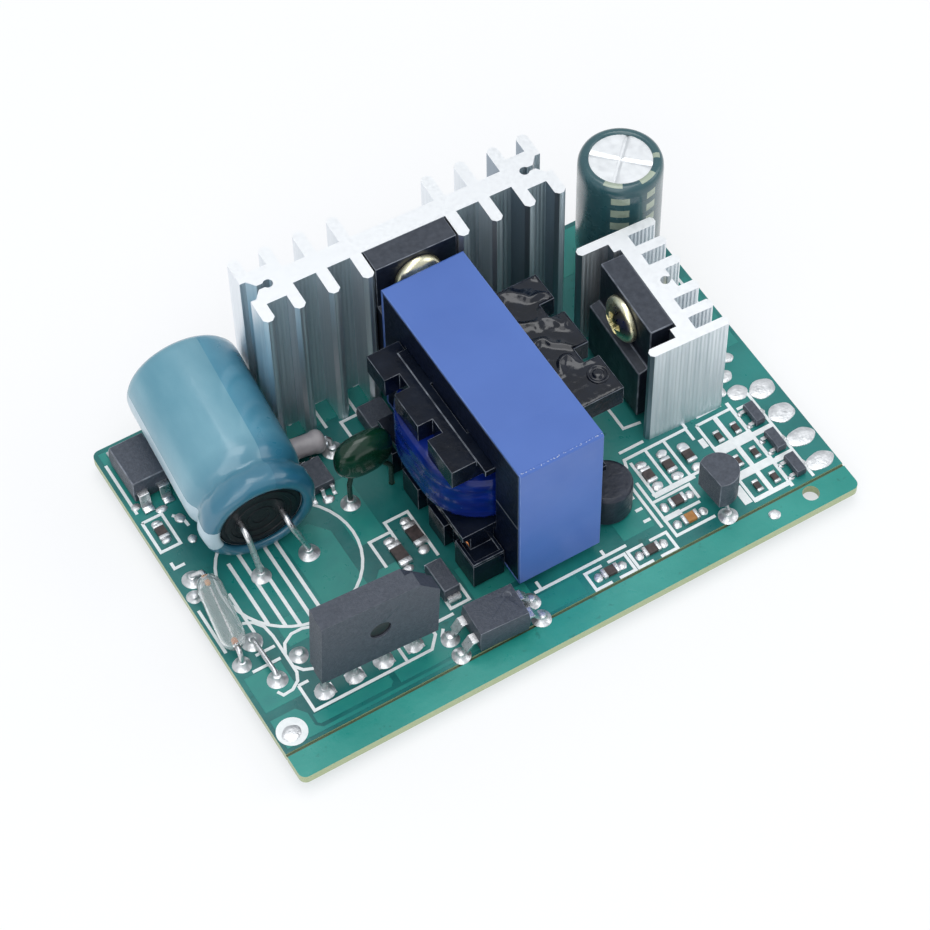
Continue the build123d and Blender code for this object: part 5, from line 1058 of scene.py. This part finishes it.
# Lacquer on the transformer. The windings' ends are fixed with brushed lacquer that ran over the right
# flange and set in glossy waves, with a ring mark near the front. Thin tails of enamelled copper wire go
# down from the coil at its front corners.
lacquer = mottled("set_lacquer", (0.001, 0.002, 0.006), (0.005, 0.008, 0.018), 0.15, 400, 0.0)
lacquer.bump(lacquer.noise(1100, 3.0), 0.00003)
lacquer.set(Specular_IOR_Level=0.6)
FLANGE_TOP = 17.8
FLANGE_SPAN = ((43.15, 49.95), (15.35, 33.5))
FLANGE_NOTCHES, NOTCH_START, NOTCH_HALF = (21.43, 28.59), 48.1, 1.15
LACQUER_CELL, LACQUER_EDGE = 0.14, 0.35
RING_MARK_PLACE = (48.55, 18.1)
RING_MARK = [
    (1.28, 0.0), (1.24, 0.18), (1.12, 0.24), (1.00, 0.16), (0.92, 0.05), (0.68, 0.05), (0.58, 0.28),
    (0.36, 0.38), (0, 0.34),
]
TAIL_RADIUS, TAIL_BEND = 0.14, 0.9
TAIL_PATHS = [
    [(43.1, 14.6, 7.5), (45.2, 13.9, 6.2), (46.3, 15.9, 4.6), (45.9, 18.4, 3.6)],
    [(43.2, 16.4, 8.6), (45.0, 16.2, 7.4), (46.0, 18.0, 5.0)],
    [(29.3, 13.6, 4.6), (28.9, 15.4, 5.4), (29.6, 17.6, 7.6)],
]


def lacquer_rise(u, v):
    """Height of the waves that the lacquer set in: folds across the flange that fade out at its front."""
    bend = noise.noise(Vector((u * 0.5, v * 0.5, 3.0)))
    folds = math.sin(1.7 * v + 0.9 * u + 3.0 * bend + 1.1 * math.sin(0.9 * u + 0.6 * v))
    ridge = (0.5 + 0.5 * folds) ** 3
    patchy = 0.55 + 0.45 * noise.noise(Vector((u * 0.3, v * 0.3, 9.0)))
    fade = min(1.0, max(0.0, (v - 19.6) / 2.4)) * patchy
    return 0.05 + 0.62 * ridge * fade + 0.03 * noise.noise(Vector((u * 1.6, v * 1.6, 1.0)))


runs = bmesh.new()
(first_u, last_u), (first_v, last_v) = FLANGE_SPAN
columns, rows = int((last_u - first_u) / LACQUER_CELL), int((last_v - first_v) / LACQUER_CELL)
tops, feet = {}, {}
for i in range(columns + 1):
    for k in range(rows + 1):
        u = first_u + (last_u - first_u) * i / columns
        v = first_v + (last_v - first_v) * k / rows
        margin = 0.12 * noise.noise(Vector((u, v, 5.0)))
        at_notch = any(abs(v - notch) < NOTCH_HALF + margin for notch in FLANGE_NOTCHES)
        if u > NOTCH_START + margin and at_notch:
            continue
        border = min(u - first_u, last_u - u, v - first_v, last_v - v)
        share = min(1.0, border / LACQUER_EDGE)
        rise = lacquer_rise(u, v) * math.sqrt(max(share, 0.0))
        tops[i, k] = runs.verts.new(place(u, v, FLANGE_TOP + 0.01 + rise))
        feet[i, k] = runs.verts.new(place(u, v, FLANGE_TOP - 0.05))
cells = [(i, k) for i, k in tops if {(i + 1, k), (i + 1, k + 1), (i, k + 1)} <= tops.keys()]
whole = set(cells)
for i, k in cells:
    corners = [(i, k), (i + 1, k), (i + 1, k + 1), (i, k + 1)]
    neighbours = [(i, k - 1), (i + 1, k), (i, k + 1), (i - 1, k)]
    runs.faces.new([tops[corner] for corner in corners])
    runs.faces.new([feet[corner] for corner in corners[::-1]])
    for a, b, neighbour in zip(corners, corners[1:] + corners[:1], neighbours):
        if neighbour not in whole:
            runs.faces.new((tops[a], feet[a], feet[b], tops[b]))
bmesh.ops.delete(runs, geom=[vertex for vertex in runs.verts if not vertex.link_faces], context="VERTS")
spun(runs, RING_MARK, upright(*RING_MARK_PLACE, FLANGE_TOP + 0.04), 36)
keep("lacquer_runs", runs, [lacquer], "bobbin_resin", sharp=70)

enamelled = mottled("copper_wire", (0.50, 0.16, 0.06), (0.66, 0.26, 0.10), 0.3, 900, 0.0, 1.0)
tails = bmesh.new()
for points in TAIL_PATHS:
    wire(tails, [place(*spot) for spot in points], TAIL_RADIUS * MM, TAIL_BEND * MM, 8)
keep("winding_tails", tails, [enamelled], "winding_tape", sharp=60)

# Couplers. Two blocks of black epoxy with four leads: one beside the bridge with its leads spread wide
# into the board, and one at the rear left on surface pads.
for node in ("coupler_body", "rear_block_body"):
    rounded(node, 0.13, [resin, moulded_edge_highlight], "black_resin")
for node in ("coupler_leads", "rear_block_leads"):
    rounded(node, 0.07, [tin], "tinned_wire")

# Controller. A flat moulded package with eight small leads, soldered to pads on the board's face, and half
# hidden under the large capacitor.
rounded("controller_body", 0.08, [resin, moulded_edge_highlight], "black_resin")
paint(tin, "controller_leads")

# Film capacitor. A flat wound pebble dipped in green lacquer that ran smooth over its edges and down its
# two legs, on which it stands clear of the board.
FILM_PLACE, FILM_HEIGHT = (24.25, 28.4), 8.3
FILM_HALF, FILM_SQUARENESS, FILM_EDGE = (3.7, 1.8, 3.15), 2.45, 2.1
LEG_RADIUS, LEG_BEND, LEG_KNEE = 0.3, 1.2, 3.6
green = mottled("green_lacquer", (0.002, 0.020, 0.010), (0.004, 0.038, 0.018), 0.18, 260, 0.00003)
green.set(Coat_Weight=0.25, Coat_Roughness=0.06, Specular_IOR_Level=0.4)
pebble = bmesh.new()
bmesh.ops.create_icosphere(pebble, subdivisions=5, radius=1.0)
for vertex in pebble.verts:
    spot = vertex.co
    bulk = abs(spot.x) ** FILM_SQUARENESS + abs(spot.z) ** FILM_SQUARENESS + abs(spot.y) ** FILM_EDGE
    lumpy = 1 - 0.015 * (1 + math.sin(5 * spot.x + 2) * math.sin(4 * spot.z))
    spot = spot * bulk ** (-1 / FILM_SQUARENESS) * lumpy
    held = [max(-1.0, min(1.0, share)) * half for share, half in zip(spot, FILM_HALF)]
    vertex.co = place(*FILM_PLACE, FILM_HEIGHT) + Vector(held) * MM
keep("film_capacitor", pebble, [green], "green_lacquer", "film_capacitor_body", sharp=80)
legs = bmesh.new()
for (u, v), lean in zip(FILM_HOLES, (0.5, -1.6)):
    start = place(u + lean, FILM_PLACE[1], FILM_HEIGHT - 2.6)
    wire(legs, [start, place(u, v, LEG_KNEE), place(u, v, LEAD_FOOT)], LEG_RADIUS * MM, LEG_BEND * MM)
dipped = mottled("dipped_legs", (0.010, 0.030, 0.024), (0.030, 0.055, 0.045), 0.3, 900, 0.0)
keep("film_capacitor_legs", legs, [dipped], "tinned_wire", "film_capacitor_leads", sharp=60)

# Fuse. A glass tube drawn closed round a lead at each end, with a bead of orange seal there and a thin wire
# that runs between the leads.
FUSE_FRONT, FUSE_REAR, FUSE_HEIGHT, FUSE_RADIUS = (1.5, 16.95), (2.8, 26.9), 2.2, 1.5
FUSE_SIDES, FUSE_WIRE_RADIUS, FUSE_WIRE_BEND = 48, 0.3, 0.7
fuse_start, fuse_stop = place(*FUSE_FRONT, FUSE_HEIGHT), place(*FUSE_REAR, FUSE_HEIGHT)
fuse_way = (fuse_stop - fuse_start).normalized()
fuse_across = UPWARD.cross(fuse_way)
fuse_frame = frame_at(fuse_start, fuse_across, fuse_way.cross(fuse_across), fuse_way)
fuse_length = (fuse_stop - fuse_start).length / MM
glass = mottled("fuse_glass", (0.95, 0.98, 0.98), (0.98, 1.0, 1.0), 0.04, 500, 0.0)
glass.set(Transmission_Weight=0.88, IOR=1.34)
TUBE_OUTSIDE = [(0.42, 0.0), (0.70, 0.10), (1.05, 0.40), (1.36, 0.95), (FUSE_RADIUS, 1.7)]
TUBE_INSIDE = [(1.28, 1.85), (1.14, 1.20), (0.82, 0.72), (0.34, 0.50)]
tube_profile = TUBE_OUTSIDE + [(r, fuse_length - z) for r, z in TUBE_OUTSIDE[::-1]]
tube_profile += [(r, fuse_length - z) for r, z in TUBE_INSIDE[::-1]] + TUBE_INSIDE
tube = bmesh.new()
angles = [math.tau * k / FUSE_SIDES for k in range(FUSE_SIDES)]
rings = []
for radius, height in tube_profile:
    spots = [Vector((radius * math.cos(angle), radius * math.sin(angle), height)) for angle in angles]
    rings.append([tube.verts.new(fuse_frame @ (spot * MM)) for spot in spots])
join_rings(tube, rings + rings[:1])
keep("fuse_glass_tube", tube, [glass], "clear_glass", "fuse_tube", sharp=60)

seal = mottled("fuse_seal", (0.60, 0.16, 0.04), (0.78, 0.34, 0.10), 0.3, 900, 0.0)
BEAD = [(0, 0.0), (0.30, 0.04), (0.33, 0.4), (0.36, 0.8), (0.28, 1.1), (0, 1.3)]
beads = bmesh.new()
for end, way in ((0.05, 1), (fuse_length - 0.05, -1)):
    spun(beads, [(radius, end + way * depth) for radius, depth in BEAD], fuse_frame, 20)
keep("fuse_beads", beads, [seal], "fuse_seal", "fuse_seals", sharp=60)
paint(tin, "fuse_element")
fuse_wires = bmesh.new()
for (u, v), end, outward in zip(FUSE_HOLES, (0.0, fuse_length), (-1, 1)):
    wire(fuse_wires, [
        fuse_frame @ (Vector((0, 0, end - outward * 0.9)) * MM),
        fuse_frame @ (Vector((0, 0, end + outward * 0.75)) * MM),
        place(u, v, 0.9),
        place(u, v, LEAD_FOOT),
    ], FUSE_WIRE_RADIUS * MM, FUSE_WIRE_BEND * MM)
keep("fuse_leads_bent", fuse_wires, [tin], "tinned_wire", "fuse_leads", sharp=60)

# Wire link. Bare tinned copper wire bent like a staple, which bridges two joints between the fuse and the
# front left corner.
LINK_HEIGHT, LINK_RADIUS, LINK_BEND = 1.1, 0.3, 0.8
link = bmesh.new()
link_rear, link_front = LINK_HOLES
wire(link, [
    place(*link_rear, LEAD_FOOT),
    place(*link_rear, LINK_HEIGHT),
    place(*link_front, LINK_HEIGHT),
    place(*link_front, LEAD_FOOT),
], LINK_RADIUS * MM, LINK_BEND * MM)
keep("staple_link", link, [tin], "tinned_wire", "wire_link", sharp=60)

# Regulator, choke and resistor. The regulator is a half-round black package, the choke a wound drum in
# dark shrunk tube, and the resistor a grey lacquered body with swollen ends.
rounded("regulator_body", 0.12, [resin, moulded_edge_highlight], "black_resin")
paint(tin, "regulator_leads", "choke_leads", "snubber_resistor_leads")
drum = mottled("shrunk_tube", (0.010, 0.014, 0.026), (0.024, 0.030, 0.048), 0.38, 700, 0.00008)
rounded("choke_body", 0.2, [drum], "bobbin_resin")
enamel = mottled("resistor_enamel", (0.40, 0.37, 0.39), (0.52, 0.48, 0.49), 0.35, 900, 0.0)
RESISTOR_PLACE, RESISTOR_TURN = (20.8, 37.0, 1.6), math.radians(-8.0)
HALF_RESISTOR = [
    (0, 2.8), (0.5, 2.78), (1.0, 2.62), (1.32, 2.3), (1.45, 1.9), (1.42, 1.5), (1.30, 1.2), (1.27, 0.8),
]
resistor_way = Vector((math.cos(RESISTOR_TURN), math.sin(RESISTOR_TURN), 0))
resistor_frame = frame_at(place(*RESISTOR_PLACE), UPWARD, resistor_way.cross(UPWARD), resistor_way)
body = bmesh.new()
spun(body, [(r, -z) for r, z in HALF_RESISTOR] + HALF_RESISTOR[::-1], resistor_frame, 40)
keep("resistor_shell", body, [enamel], "resistor_enamel", "snubber_resistor_body", sharp=60)

# Surface parts. Moulded diodes with folded tabs, ceramic chips with plated ends on small solder fillets,
# and three packages with three leads each beside the output pads.
for node, width in (("box_diode_body", 0.12), ("slim_diode_body", 0.12), ("sot_bodies", 0.07)):
    rounded(node, width, [resin, moulded_edge_highlight], "black_resin")
paint(tin, "diode_tabs", "sot_leads")
rounded("chip_ends", 0.06, [solder], "solder")
chip = mottled("chip_ceramic", (0.030, 0.022, 0.022), (0.080, 0.058, 0.055), 0.35, 2000, 0.0)
paint(chip, "chip_resistor_bodies")
tan_chip = mottled("chip_capacitor", (0.36, 0.15, 0.03), (0.48, 0.22, 0.06), 0.4, 2000, 0.0)
paint(tan_chip, "chip_capacitor_body")
